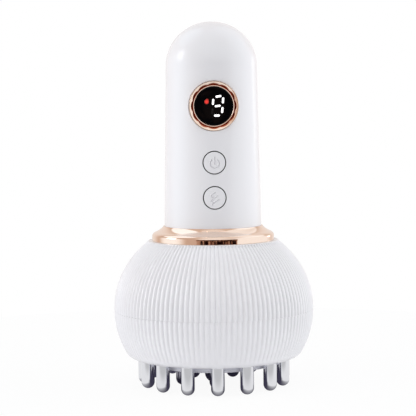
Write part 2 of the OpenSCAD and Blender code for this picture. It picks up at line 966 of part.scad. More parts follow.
module neck_screws() {
    color([0.7, 0.7, 0.72])
    at_lugs(deck_under_z) {
        cylinder(r = neck_screw_r, h = neck_screw_l);
        translate([0, 0, -neck_head_h])
            cylinder(r = neck_head_r, h = neck_head_h);
    }
}

module head_gasket() {
    color([0.25, 0.25, 0.27])
    rotate_extrude()
        polygon([
            [lap_in_r + gasket_inset, lap_top_z],
            [lap_r - gasket_inset, lap_top_z],
            [lap_r - gasket_inset, lap_top_z + gasket_h],
            [lap_in_r + gasket_inset, lap_top_z + gasket_h]]);
}

module lower_head_shell() {
    color([0.92, 0.92, 0.94])
    difference() {
        union() {
            rotate_extrude()
                polygon(concat(
                    [[lap_in_r, lap_top_z], [lap_r, lap_top_z]],
                    [[lap_r, seam_z + lap_bead_high],
                        [lap_r + lap_bead, seam_z + (lap_bead_low + lap_bead_high) / 2],
                        [lap_r, seam_z + lap_bead_low]],
                    [[lap_r, seam_z]],
                    head_curve(seam_z, round_z),
                    rim_arc(),
                    [[plate_boss_r + fit_gap, rim_z], [plate_boss_r + fit_gap, floor_top_z]],
                    head_curve(floor_top_z, seam_z, head_wall)));
            intersection() {
                at_shell_bosses(floor_top_z)
                    cylinder(r = shell_boss_r, h = frame_z - floor_top_z);
                head_solid(head_wall / 2);
            }
        }
        ring_of(outer_pins_n, outer_ring_r)
            translate([0, 0, rim_z - over])
                cylinder(r = pin_r + fit_gap, h = floor_t + 2 * over);
        at_shell_bosses(frame_z - frame_pilot_l)
            cylinder(r = frame_screw_r + pilot_gap, h = frame_pilot_l + over);
    }
}

// Base and pins

module base_plate() {
    color([0.82, 0.82, 0.87])
    difference() {
        rotate_extrude()
            polygon(concat(
                [[0, plate_face_z]],
                [for (i = [0 : 6])
                    let (a = 15 * i)
                    [plate_boss_r - plate_round + plate_round * sin(a),
                        plate_face_z + plate_round - plate_round * cos(a)]],
                [[plate_boss_r, floor_top_z], [plate_r, floor_top_z], [plate_r, pin_seat_z]],
                [[0, pin_seat_z]]));
        ring_of(outer_pins_n, outer_ring_r)
            translate([0, 0, floor_top_z - over])
                cylinder(r = pin_r + fit_gap, h = plate_flange_t + 2 * over);
        ring_of(inner_pins_n, inner_ring_r)
            translate([0, 0, plate_face_z - over])
                cylinder(r = pin_r + fit_gap, h = pin_seat_z - plate_face_z + 2 * over);
        translate([0, 0, plate_face_z - over])
            cylinder(r = stud_r + fit_gap, h = pin_seat_z - plate_face_z + 2 * over);
        plate_pocket(inner_ring_r + inner_land_r, plate_boss_r - pocket_rim);
        plate_pocket(stud_seat_r, inner_ring_r - inner_land_r);
    }
}

// Ring-shaped pocket in the base plate's back
module plate_pocket(inner_r, outer_r) {
    if (outer_r - inner_r > pocket_least)
        translate([0, 0, plate_face_z + plate_skin])
            difference() {
                cylinder(r = outer_r, h = pin_seat_z - plate_face_z);
                translate([0, 0, -over])
                    cylinder(r = inner_r, h = pin_seat_z - plate_face_z + 2 * over);
            }
}

// A pin with a round tip, straight up to the boss's face and drawn in a little above it, where it
// passes through the floor, with a flange above the base plate and a spigot into the heating plate
module pin(r, tip_z, flange_r, spigot_r) {
    translate([0, 0, tip_z + r])
        sphere(r = r);
    translate([0, 0, tip_z + r])
        cylinder(r = r, h = plate_face_z - tip_z - r);
    translate([0, 0, plate_face_z])
        cylinder(r1 = r, r2 = r - pin_draft, h = pin_seat_z - plate_face_z + eps);
    translate([0, 0, pin_seat_z])
        cylinder(r = flange_r, h = pin_flange_t);
    translate([0, 0, heater_z - eps])
        cylinder(r = spigot_r, h = heating_plate_t - spigot_short);
}

module outer_pins() {
    color([0.78, 0.78, 0.8])
        ring_of(outer_pins_n, outer_ring_r)
            pin(pin_r, 0, pin_flange_r, pin_spigot_d / 2);
}

module inner_pins() {
    color([0.78, 0.78, 0.8])
        ring_of(inner_pins_n, inner_ring_r)
            pin(pin_r, inner_lift, pin_flange_r, pin_spigot_d / 2);
}

module centre_stud() {
    color([0.7, 0.7, 0.73])
        pin(stud_r, inner_lift, stud_flange_r, stud_spigot_r);
}

module heating_plate() {
    color([0.76, 0.77, 0.78])
    difference() {
        translate([0, 0, heater_z])
            cylinder(r = plate_r, h = heating_plate_t);
        translate([0, 0, heater_z - over]) {
            ring_of(outer_pins_n, outer_ring_r)
                cylinder(r = pin_spigot_d / 2 + fit_gap / 2, h = heating_plate_t + 2 * over);
            ring_of(inner_pins_n, inner_ring_r)
                cylinder(r = pin_spigot_d / 2 + fit_gap / 2, h = heating_plate_t + 2 * over);
            cylinder(r = stud_spigot_r + fit_gap / 2, h = heating_plate_t + 2 * over);
        }
    }
}

module heater_film() {
    color([0.8, 0.5, 0.15])
        translate([0, 0, heater_top_z])
            cylinder(r = film_r, h = film_t);
}

thermostat_r = 3.6;
thermostat_h = 1.6;
thermostat_cap_r = 2.6;
thermostat_cap_h = 1.2;
thermostat_inset = 9.85;
thermostat_x = film_r - thermostat_inset;
module thermostat() {
    color([0.6, 0.6, 0.62])
        translate([thermostat_x, 0, film_top_z]) {
            cylinder(r = thermostat_r, h = thermostat_h);
            translate([0, 0, thermostat_h - eps])
                cylinder(r = thermostat_cap_r, h = thermostat_cap_h);
        }
}

// Motor and its frame

module motor_frame() {
    frame_r = head_radius(frame_z, head_wall) - frame_gap;
    color([0.3, 0.3, 0.32])
    difference() {
        union() {
            translate([0, 0, frame_z])
                cylinder(r = frame_r, h = frame_t);
            translate([0, 0, heater_top_z])
                cylinder(r = skirt_r, h = skirt_h + eps);
            translate([0, 0, frame_top_z - eps])
                cylinder(r = cup_r + cup_t, h = cup_h);
        }
        translate([0, 0, heater_top_z - over])
            cylinder(r = skirt_r - skirt_t, h = skirt_h + over);
        translate([0, 0, frame_top_z])
            cylinder(r = cup_r, h = cup_h + over);
        translate([0, 0, frame_z - over])
            cylinder(r = motor_boss_r + motor_boss_gap, h = frame_t + 2 * over);
        at_shell_bosses(frame_z - over)
            cylinder(r = frame_screw_r + screw_hole_gap, h = frame_t + 2 * over);
        translate([0, -frame_window_y, frame_z - over])
            cylinder(r = cable_hole_r, h = frame_t + 2 * over);
        at_motor_screws(frame_z - over) {
            cylinder(r = motor_screw_r + fit_gap, h = frame_t + 2 * over);
            cylinder(r = motor_screw_head_r + fit_gap, h = over + motor_screw_head_h + fit_gap);
        }
    }
}
frame_window_inset = 4.25;
frame_window_y = skirt_r - skirt_t - cable_hole_r - frame_window_inset;

// Two places for the motor's screws
module at_motor_screws(z) {
    for (side = [-1, 1])
        translate([side * motor_screw_pitch / 2, 0, z])
            children();
}

module frame_screws() {
    color([0.7, 0.7, 0.72])
    at_shell_bosses(frame_top_z) {
        translate([0, 0, -frame_t - frame_screw_l])
            cylinder(r = frame_screw_r, h = frame_t + frame_screw_l);
        cylinder(r = frame_screw_head_r, h = frame_screw_head_h);
    }
}

module motor_can() {
    color([0.72, 0.72, 0.74])
    difference() {
        union() {
            translate([0, 0, frame_top_z])
                cylinder(r = motor_r, h = motor_h);
            translate([0, 0, motor_boss_z])
                cylinder(r = motor_boss_r, h = motor_boss_h + eps);
            translate([0, 0, motor_top_z - eps])
                cylinder(r = motor_tail_r, h = motor_tail_h);
        }
        translate([0, 0, motor_boss_z - over])
            cylinder(r = shaft_r + shaft_gap, h = motor_boss_h + 2 * over + shaft_inside);
        at_motor_screws(frame_top_z - over)
            cylinder(r = motor_screw_r + pilot_gap, h = motor_screw_l);
    }
}

module motor_boot() {
    color([0.2, 0.2, 0.21])
    translate([0, 0, frame_top_z])
        difference() {
            cylinder(r = cup_r - cup_gap, h = cup_h - boot_drop);
            translate([0, 0, -over])
                cylinder(r = motor_r + cup_gap, h = cup_h + 2 * over);
        }
}

module motor_screws() {
    color([0.7, 0.7, 0.72])
    at_motor_screws(frame_z + fit_gap) {
        cylinder(r = motor_screw_head_r, h = motor_screw_head_h);
        translate([0, 0, motor_screw_head_h - eps])
            cylinder(r = motor_screw_r, h = motor_screw_l - motor_screw_floor);
    }
}

module motor_terminals() {
    color([0.8, 0.65, 0.3])
    for (side = [-1, 1])
        translate([side * terminal_x, 0, motor_top_z])
            box_between([-terminal_w / 2, -terminal_t / 2, 0],
                [terminal_w / 2, terminal_t / 2, terminal_h]);
}

module motor_shaft() {
    color([0.75, 0.75, 0.77])
        translate([0, 0, weight_z - shaft_out])
            cylinder(r = shaft_r, h = frame_top_z + shaft_inside - weight_z);
}

module eccentric_weight() {
    color([0.6, 0.55, 0.4])
    translate([0, 0, weight_z])
        difference() {
            union() {
                intersection() {
                    cylinder(r = weight_r, h = weight_h);
                    box_between([-weight_r - over, 0, -over],
                        [weight_r + over, weight_r + over, weight_h + over]);
                }
                cylinder(r = hub_r, h = weight_h);
            }
            translate([0, 0, -over])
                cylinder(r = shaft_r, h = weight_h + 2 * over);
        }
}

// Leads

// Point on a smooth curve through four route points
function smooth_point(a, b, c, d, t) =
    0.5 * (2 * b + (c - a) * t + (2 * a - 5 * b + 4 * c - d) * t * t + (3 * b - a - 3 * c + d) * t * t * t);

// A route with extra points between its own
function smooth_route(p) =
    let (n = len(p))
    [for (i = [0 : n - 2])
        for (k = [0 : (i == n - 2 ? lead_steps : lead_steps - 1)])
            smooth_point(p[max(0, i - 1)], p[i], p[i + 1], p[min(n - 1, i + 2)], k / lead_steps)];

// Unit vector
function unit(v) = v / norm(v);

// Direction of a lead at one of its points; its ends are cut square to the route
function lead_direction(route, path, i) =
    i == 0 ? unit(route[1] - route[0])
    : i == len(path) - 1 ? unit(route[len(route) - 1] - route[len(route) - 2])
    : unit(path[i + 1] - path[i - 1]);

// A lead: a closed tube swept along a route
module lead(route) {
    path = smooth_route(route);
    n = len(path);
    rings = [for (i = [0 : n - 1])
        let (t = lead_direction(route, path, i), u = unit(cross(t, [1, 0, 0])), v = cross(t, u))
        for (k = [0 : lead_sides - 1])
            path[i] + lead_d / 2 * (cos(360 * k / lead_sides) * u + sin(360 * k / lead_sides) * v)];
    sides = [for (i = [0 : n - 2])
        for (k = [0 : lead_sides - 1])
            [i * lead_sides + k, i * lead_sides + (k + 1) % lead_sides,
                (i + 1) * lead_sides + (k + 1) % lead_sides, (i + 1) * lead_sides + k]];
    first = [[for (k = [0 : lead_sides - 1]) lead_sides - 1 - k]];
    last = [[for (k = [0 : lead_sides - 1]) (n - 1) * lead_sides + k]];
    polyhedron(points = rings, faces = concat(sides, first, last));
}

module motor_leads() {
    color([0.75, 0.12, 0.1])
    for (side = [-1, 1]) {
        x = motor_lead_x + side * lead_pitch / 2;
        end_x = -connector_x + side * lead_pitch;
        lead([
            [side * terminal_x, -(terminal_t + lead_d) / 2 - solder_gap, motor_top_z + solder_h],
            [x + side * terminal_x / 2, -lead_foot, motor_top_z + solder_rise],
            [x, cable_y + lead_slack, deck_under_z - lead_dip],
            [x, cable_y, deck_z],
            [x, cable_y, deck_z + lead_exit],
            [(x + end_x) / 2, (cable_y + lead_in_y) / 2, deck_z + lead_bend_h],
            [end_x, lead_in_y, connector_z - lead_plug],
            [end_x, lead_in_y, connector_z]]);
    }
}

module heater_leads() {
    color([0.15, 0.15, 0.16])
    for (side = [-1, 1]) {
        x = heater_lead_x + side * lead_pitch / 2;
        end_x = connector_x + side * lead_pitch;
        lead([
            [x, window_lead_out - frame_window_y, film_top_z + lead_d / 2 + lead_seat],
            [x, window_lead_bend - frame_window_y, film_top_z + lead_d],
            [x, -frame_window_y, frame_z],
            [x, -frame_window_y, frame_top_z + lead_foot],
            [x, window_lead_lean - frame_window_y, frame_top_z + window_lead_h],
            [x, cable_y - lead_slack, deck_under_z - lead_dip],
            [x, cable_y, deck_z],
            [x, cable_y, deck_z + lead_exit],
            [(x + end_x) / 2, (cable_y + lead_in_y) / 2, deck_z + lead_bend_h],
            [end_x, lead_in_y, connector_z - lead_plug],
            [end_x, lead_in_y, connector_z]]);
    }
}

module charge_leads() {
    color([0.9, 0.75, 0.15])
    for (side = [-1, 1]) {
        x = side * charge_lead_x;
        lead([
            [x, charge_board_y + charge_lead_start, charge_board_z + charge_board_t + lead_d / 2 + lead_seat],
            [x, charge_board_y / 2, charge_board_z + charge_board_t + lead_d / 2 + 3 * lead_seat],
            [x, web_y + web_t, charge_board_z + charge_board_t + lead_d / 2 + lead_seat],
            [x, lead_in_y + lead_slack, charge_board_z + charge_board_t + 3 * lead_d / 2],
            [x, lead_in_y, connector_z - lead_foot],
            [x, lead_in_y, connector_mid_z - charge_lead_rise],
            [x, lead_in_y, connector_mid_z]]);
    }
}

module battery_leads() {
    color([0.75, 0.12, 0.1])
    for (side = [-1, 1]) {
        x = side * lead_pitch;
        lead([
            [x, cell_y - tab_t, cell_z + cell_h + tab_t + lead_d / 2],
            [x, cell_y - lead_foot, cell_z + cell_h + tab_t + lead_d],
            [x, web_y + web_t / 2, web_top_z + 4 * lead_d / 3],
            [x, lead_in_y, web_top_z - lead_d],
            [x, lead_in_y, connector_top_z + connector_h + lead_plug_top],
            [x, lead_in_y, connector_top_z + connector_h]]);
    }
}

handle_sleeve();
display_bezel();
display_window();
digit_segments();
unlit_segment();
heat_indicator();
display_module();
control_board();
board_chips();
board_connectors();
board_screws();
tact_switches();
power_button();
power_plunger();
mode_button();
mode_plunger();
inner_chassis();
battery_cell();
battery_tabs();
battery_leads();
charge_board();
charge_socket();
charge_leads();
collar_ring();
neck_screws();
upper_head_shell();
head_gasket();
lower_head_shell();
base_plate();
outer_pins();
inner_pins();
centre_stud();
heating_plate();
heater_film();
thermostat();
heater_leads();
motor_frame();
frame_screws();
motor_can();
motor_boot();
motor_screws();
motor_terminals();
motor_shaft();
eccentric_weight();
motor_leads();
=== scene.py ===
import math

import bmesh
import bpy
import numpy as np
from mathutils import Matrix, Vector
from mathutils.geometry import delaunay_2d_cdt


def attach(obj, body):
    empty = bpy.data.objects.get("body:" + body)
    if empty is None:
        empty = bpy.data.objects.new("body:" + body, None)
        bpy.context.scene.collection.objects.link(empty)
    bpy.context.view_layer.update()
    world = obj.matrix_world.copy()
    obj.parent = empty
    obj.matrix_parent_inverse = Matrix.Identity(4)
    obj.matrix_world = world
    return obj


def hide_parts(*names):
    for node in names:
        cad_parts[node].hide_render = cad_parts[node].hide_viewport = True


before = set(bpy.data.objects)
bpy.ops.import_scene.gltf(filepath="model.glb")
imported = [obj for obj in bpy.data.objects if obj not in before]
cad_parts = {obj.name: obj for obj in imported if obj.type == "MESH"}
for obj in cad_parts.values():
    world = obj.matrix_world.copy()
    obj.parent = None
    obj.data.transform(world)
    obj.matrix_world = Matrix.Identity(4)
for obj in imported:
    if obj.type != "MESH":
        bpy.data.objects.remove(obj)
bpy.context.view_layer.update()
scene = bpy.context.scene
MM = 0.001

# Camera
FOCAL_PX = 1529.7
FRAME_PX = 416
CAMERA_MM = (-29.71, -672.79, 125.0)
FORWARD = Vector((0.0409, 0.9968, -0.0697)).normalized()
ROLL_DEG = -0.618

camera_data = bpy.data.cameras.new("camera")
camera_data.sensor_width = 36
camera_data.lens = FOCAL_PX * camera_data.sensor_width / FRAME_PX
camera_data.clip_start = 0.01
camera_data.clip_end = 20
camera = bpy.data.objects.new("camera", camera_data)
scene.collection.objects.link(camera)
roll = Matrix.Rotation(math.radians(ROLL_DEG), 3, "Z")
turn = FORWARD.to_track_quat("-Z", "Y").to_matrix() @ roll
camera.matrix_world = Matrix.Translation(Vector(CAMERA_MM) * MM) @ turn.to_4x4()
scene.camera = camera

# Sizes, in millimetres
RIM_Z = 12.3
PLATE_FACE_Z = 9.1
FLOOR_TOP_Z = 14.3
PIN_SEAT_Z = 15.9
HEATER_Z = 17.4
SEAM_Z = 33.3
BELT_Z = 34.8
DECK_Z = 63.9
DECK_UNDER_Z = 61.4
COLLAR_TOP_Z = 70.4
DOME_Z = 140.6
TOP_Z = 159.7

HEAD_R = 44.0
CROWN_H, CROWN_P = 38.6, 1.95
BOWL_H, BOWL_P = 38.7, 2.19
WALL = 2.4
ROUND_Z = 14.8
DECK_ROUND = 0.6
LAP_IN_R = HEAD_R - WALL
LAP_R = LAP_IN_R + WALL / 2
LAP_TOP_Z, LAP_SEAT_Z = SEAM_Z + 2.5, SEAM_Z + 3.3

GRIP_BASE_R, GRIP_TOP_R = 21.35, 19.95
GRIP_MEAN_R = 20.65
GRIP_WALL = 2.0
REBATE_R = 21.0
COLLAR_R, COLLAR_LIP_R = 26.9, 21.8
COLLAR_WAIST = (24.6, DECK_Z + 4.15)
COLLAR_BAND_Z = DECK_Z + 2.1
SHOULDER_REACH, FLARE_REACH = np.array([2.4, 2.25]), np.array([2.7, 2.65])

OUTER_RING_R, OUTER_PINS = 31.05, 15
INNER_RING_R, INNER_PINS = 15.0, 5
PIN_R, PIN_FLANGE_R, PIN_SPIGOT_R = 2.9, 3.6, 1.5
STUD_R, STUD_FLANGE_R, STUD_SPIGOT_R = 4.25, 5.35, 2.0
SPIGOT_TOP_Z = HEATER_Z + 1.8
HOLE_GAP = 0.1
PIN_DRAFT = 0.05
INNER_TIP_Z = 0.35
BOSS_R, BOSS_EDGE = 27.4, 0.8

DISPLAY_Z, POWER_Z, MODE_Z, SOCKET_Z = 122.9, 98.75, 83.7, 74.8
BEZEL_R, BEZEL_FRONT_Y, BEZEL_DEPTH = 10.65, -20.703, 3.85
CREST_R, BEVEL = 10.45, math.tan(math.radians(24))
SCALLOPS, SCALLOP_RING_R, SCALLOP_R = 12, 5.75, 4.0
RECESS_R = 10.0
WINDOW_R, WINDOW_FACE_Y = 8.25, -20.003
HEAT_X, HEAT_Y, HEAT_Z = -3.05, -20.2, DISPLAY_Z + 1.8
CAP_R, CAP_EDGE, BUTTON_HOLE_R = 4.65, 0.18, 5.07
FLANGE_R, FLANGE_T, POST_R, POST_REACH = 6.0, 1.0, 1.6, 2.2

# Sine and cosine along the quarter turn of a small rounded edge
ROUNDING = [(math.sin(math.radians(a)), math.cos(math.radians(a))) for a in (30, 60, 90)]


def grip_r(z):
    """Radius of the grip's surface at a height."""
    if z > DOME_Z:
        return GRIP_TOP_R * math.sqrt(max(0.0, 1 - ((z - DOME_Z) / (TOP_Z - DOME_Z)) ** 2))
    return GRIP_TOP_R + (GRIP_BASE_R - GRIP_TOP_R) * (DOME_Z - z) / (DOME_Z - COLLAR_TOP_Z)


def head_r(z, inset=0.0):
    """Radius of the head's surface at a height, or of one drawn in by inset."""
    half, power = (CROWN_H, CROWN_P) if z > BELT_Z else (BOWL_H, BOWL_P)
    t = abs(z - BELT_Z) / (half - inset)
    return (HEAD_R - inset) * (1 - t ** power) ** (1 / power)


# Mesh helpers

def circle(n, r, z):
    a = np.arange(n) * 2 * math.pi / n
    return np.column_stack([r * np.cos(a), r * np.sin(a), np.full(n, float(z))])


def skin(rings, wrap=False):
    """Quads between rings of equal length; a ring of one point closes an end."""
    verts, faces, starts = [], [], []
    for ring in rings:
        starts.append(len(verts))
        verts.extend(np.atleast_2d(ring).tolist())
    pairs = list(zip(range(len(rings) - 1), range(1, len(rings))))
    if wrap:
        pairs.append((len(rings) - 1, 0))
    for i, j in pairs:
        a, b = starts[i], starts[j]
        na, nb = len(np.atleast_2d(rings[i])), len(np.atleast_2d(rings[j]))
        for k in range(max(na, nb)):
            k2 = (k + 1) % max(na, nb)
            if na == 1:
                faces.append((a, b + k, b + k2))
            elif nb == 1:
                faces.append((a + k, b, a + k2))
            else:
                faces.append((a + k, a + k2, b + k2, b + k))
    return verts, faces


def lathe(profile, n, axis="Z", centre=(0.0, 0.0, 0.0), wrap=False):
    """Turns (radius, along) points about Z, or about Y through the centre."""
    rings = []
    for r, h in profile:
        ring = np.array([[0.0, 0.0, h]]) if r == 0 else circle(n, r, h)
        if axis == "Y":
            ring = np.column_stack([ring[:, 0], ring[:, 2], ring[:, 1]])
        rings.append(ring + np.array(centre))
    return skin(rings, wrap)


def quads(a, b):
    """Faces between two closed rows of as many vertices."""
    n = len(a)
    return [(a[i], a[(i + 1) % n], b[(i + 1) % n], b[i]) for i in range(n)]


def sheet(loops, spare=()):
    """Triangles of a flat region: the first loop is its edge, the others are holes in it.

    spare points lie between them and give the triangles a better shape."""
    points, edges = [], []
    for loop in loops:
        start, n = len(points), len(loop)
        points.extend(Vector((p[0], p[1])) for p in loop)
        edges.extend((start + i, start + (i + 1) % n) for i in range(n))
    points.extend(Vector((p[0], p[1])) for p in spare)
    where, _, tris, originals = delaunay_2d_cdt(points, edges, [], 0, 1e-7)[:4]
    first = [o[0] for o in originals]
    centres = np.array([np.mean([where[i][:] for i in t], axis=0) for t in tris])
    keep = inside(centres, loops[0])
    for loop in loops[1:]:
        keep &= ~inside(centres, loop)
    return [tuple(first[i] for i in t) for t, k in zip(tris, keep) if k]


def inside(points, loop):
    """Which of the points lie within a flat loop."""
    loop = np.asarray(loop)[:, :2]
    x, y = points[:, 0], points[:, 1]
    hit = np.zeros(len(points), bool)
    for (x0, y0), (x1, y1) in zip(loop, np.roll(loop, -1, axis=0)):
        if y0 == y1:
            continue
        cross = (y0 > y) != (y1 > y)
        hit ^= cross & (x < x0 + (y - y0) * (x1 - x0) / (y1 - y0))
    return hit


def piece(name, shells, material, body, nodes, sharp=32):
    """One visual piece of closed shells. Edges that turn by more than sharp degrees are crisp."""
    verts, faces = [], []
    for v, f in shells:
        start = len(verts)
        verts.extend(v)
        faces.extend(tuple(start + i for i in face) for face in f)
    mesh = bpy.data.meshes.new(name)
    mesh.from_pydata([(x * MM, y * MM, z * MM) for x, y, z in verts], [], faces)
    bm = bmesh.new()
    bm.from_mesh(mesh)
    bmesh.ops.recalc_face_normals(bm, faces=bm.faces)
    bm.to_mesh(mesh)
    bm.free()
    mesh.polygons.foreach_set("use_smooth", [True] * len(mesh.polygons))
    mesh.set_sharp_from_angle(angle=math.radians(sharp))
    mesh.materials.append(material)
    obj = bpy.data.objects.new(name, mesh)
    scene.collection.objects.link(obj)
    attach(obj, body)
    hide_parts(*nodes)


# Materials

class Nodes:
    """A small shorthand for building a node tree."""

    def __init__(self, tree):
        self.tree = tree
        tree.nodes.clear()

    def add(self, kind):
        return self.tree.nodes.new(kind)

    def link(self, source, target):
        self.tree.links.new(source, target)


def ramp(n, source, begin, full, low, high):
    """Smooth step from low, where the source is at begin, to high, where it is at full."""
    node = n.add("ShaderNodeMapRange")
    node.interpolation_type = "SMOOTHSTEP"
    for name, value in (("From Min", begin), ("From Max", full), ("To Min", low), ("To Max", high)):
        node.inputs[name].default_value = value
    n.link(source, node.inputs["Value"])
    return node.outputs["Result"]


def maths(n, operation, a, b):
    node = n.add("ShaderNodeMath")
    node.operation = operation
    for socket, value in zip(node.inputs, (a, b)):
        if isinstance(value, (int, float)):
            socket.default_value = value
        else:
            n.link(value, socket)
    return node.outputs[0]


def blend(n, factor, a, b):
    """Colour a where the factor is 0 and b where it is 1."""
    node = n.add("ShaderNodeMix")
    node.data_type = "RGBA"
    n.link(factor, node.inputs[0])
    for socket, value in ((node.inputs[6], a), (node.inputs[7], b)):
        if isinstance(value, tuple):
            socket.default_value = (*value, 1)
        else:
            n.link(value, socket)
    return node.outputs[2]


def distance(n, place, centre):
    """Distance of a place from a centre given in millimetres, as a node output in metres."""
    node = n.add("ShaderNodeVectorMath")
    node.operation = "DISTANCE"
    n.link(place, node.inputs[0])
    node.inputs[1].default_value = Vector(centre) * MM
    return node.outputs["Value"]


def off_axis(n, axes, z):
    """Distance from the axis along Y at a height z in millimetres, as a node output in metres."""
    across = axes.outputs["X"]
    up = maths(n, "SUBTRACT", axes.outputs["Z"], z * MM)
    squares = [maths(n, "MULTIPLY", leg, leg) for leg in (across, up)]
    return maths(n, "SQRT", maths(n, "ADD", *squares), 0)


def paint_recess_shade(n, place, unshaded, colour, bsdf):
    """Painted shade and painted dark reflection in the bezel's groove: a dark copper colour on
    whatever lies deeper than the cone of its bevel.
    """
    axes = n.add("ShaderNodeSeparateXYZ")
    n.link(place, axes.inputs[0])
    radius = off_axis(n, axes, DISPLAY_Z)
    cone = maths(n, "MULTIPLY", maths(n, "SUBTRACT", CREST_R * MM, radius), BEVEL)
    depth = maths(n, "SUBTRACT", maths(n, "SUBTRACT", axes.outputs["Y"], BEZEL_FRONT_Y * MM), cone)
    within = ramp(n, radius, (RECESS_R - 0.05) * MM, RECESS_R * MM, 1, 0)
    shade_mask = maths(n, "MULTIPLY", ramp(n, depth, 0.03 * MM, 0.07 * MM, 0, 1), within)
    n.link(blend(n, shade_mask, unshaded, colour), bsdf.inputs["Base Color"])


def paint_gap_shade(n, place, unshaded, z, bsdf):
    """Painted shade in the gap round a button: a dark colour on its side and flange, from the edge
    of its cap outward.
    """
    axes = n.add("ShaderNodeSeparateXYZ")
    n.link(place, axes.inputs[0])
    gap_shade = ramp(n, off_axis(n, axes, z), (CAP_R - 0.04) * MM, (CAP_R - 0.01) * MM, 0, 1)
    n.link(blend(n, gap_shade, unshaded, GAP_SHADE_COLOUR), bsdf.inputs["Base Color"])


WHITE = (0.855, 0.852, 0.88)
GOLD = (0.93, 0.76, 0.65)
# Painted shade for the gap round each button
GAP_SHADE_COLOUR = (0.05, 0.05, 0.055)
BROAD_TO_FINE = 14
BUMP_HEIGHT = 0.0002
COAT_ROUGH = 0.12


def material(name, color, rough, metal=0.0, mottle=0.015, grain=900.0, bump=0.02,
             stretch=(1, 1, 1), spread=0.04, coat=0.0, emit=None, emit_strength=0.0, ior=1.46,
             recess=None, side=None, glow=None):
    """Principled surface whose colour, roughness and height vary with fine noise.

    recess is the colour of painted shade and painted dark reflection in the bezel's groove, side
    is the height of the button whose side and flange get painted shade, and glow is a light's
    centre, with the distances where it is full and where it ends."""
    mat = bpy.data.materials.new("look_" + name)
    mat.use_nodes = True
    n = Nodes(mat.node_tree)
    out = n.add("ShaderNodeOutputMaterial")
    bsdf = n.add("ShaderNodeBsdfPrincipled")
    n.link(bsdf.outputs["BSDF"], out.inputs["Surface"])
    place = n.add("ShaderNodeTexCoord")
    scaled = n.add("ShaderNodeMapping")
    scaled.inputs["Scale"].default_value = stretch
    n.link(place.outputs["Object"], scaled.inputs["Vector"])
    fine = n.add("ShaderNodeTexNoise")
    fine.inputs["Scale"].default_value = grain
    fine.inputs["Detail"].default_value = 4
    broad = n.add("ShaderNodeTexNoise")
    broad.inputs["Scale"].default_value = grain / BROAD_TO_FINE
    broad.inputs["Detail"].default_value = 2
    for texture in (fine, broad):
        n.link(scaled.outputs["Vector"], texture.inputs["Vector"])
    tone = n.add("ShaderNodeMix")
    tone.data_type = "RGBA"
    dark = [c * (1 - mottle) for c in color]
    light = [min(1.0, c * (1 + mottle)) for c in color]
    tone.inputs[6].default_value = (*dark, 1)
    tone.inputs[7].default_value = (*light, 1)
    n.link(broad.outputs["Fac"], tone.inputs[0])
    n.link(tone.outputs[2], bsdf.inputs["Base Color"])
    if recess:
        paint_recess_shade(n, place.outputs["Object"], tone.outputs[2], recess, bsdf)
    if side:
        paint_gap_shade(n, place.outputs["Object"], tone.outputs[2], side, bsdf)
    gloss = n.add("ShaderNodeMapRange")
    gloss.inputs["To Min"].default_value = max(0.0, rough - spread)
    gloss.inputs["To Max"].default_value = min(1.0, rough + spread)
    n.link(fine.outputs["Fac"], gloss.inputs["Value"])
    n.link(gloss.outputs["Result"], bsdf.inputs["Roughness"])
    raised = n.add("ShaderNodeBump")
    raised.inputs["Strength"].default_value = bump
    raised.inputs["Distance"].default_value = BUMP_HEIGHT
    n.link(fine.outputs["Fac"], raised.inputs["Height"])
    n.link(raised.outputs["Normal"], bsdf.inputs["Normal"])
    bsdf.inputs["Metallic"].default_value = metal
    bsdf.inputs["IOR"].default_value = ior
    bsdf.inputs["Coat Weight"].default_value = coat
    bsdf.inputs["Coat Roughness"].default_value = COAT_ROUGH
    if emit is not None:
        bsdf.inputs["Emission Color"].default_value = (*emit, 1)
        bsdf.inputs["Emission Strength"].default_value = emit_strength
    if glow:
        centre, full, none = glow
        reach = distance(n, place.outputs["Object"], centre)
        fading = ramp(n, reach, full * MM, none * MM, emit_strength, 0)
        n.link(fading, bsdf.inputs["Emission Strength"])
    return mat


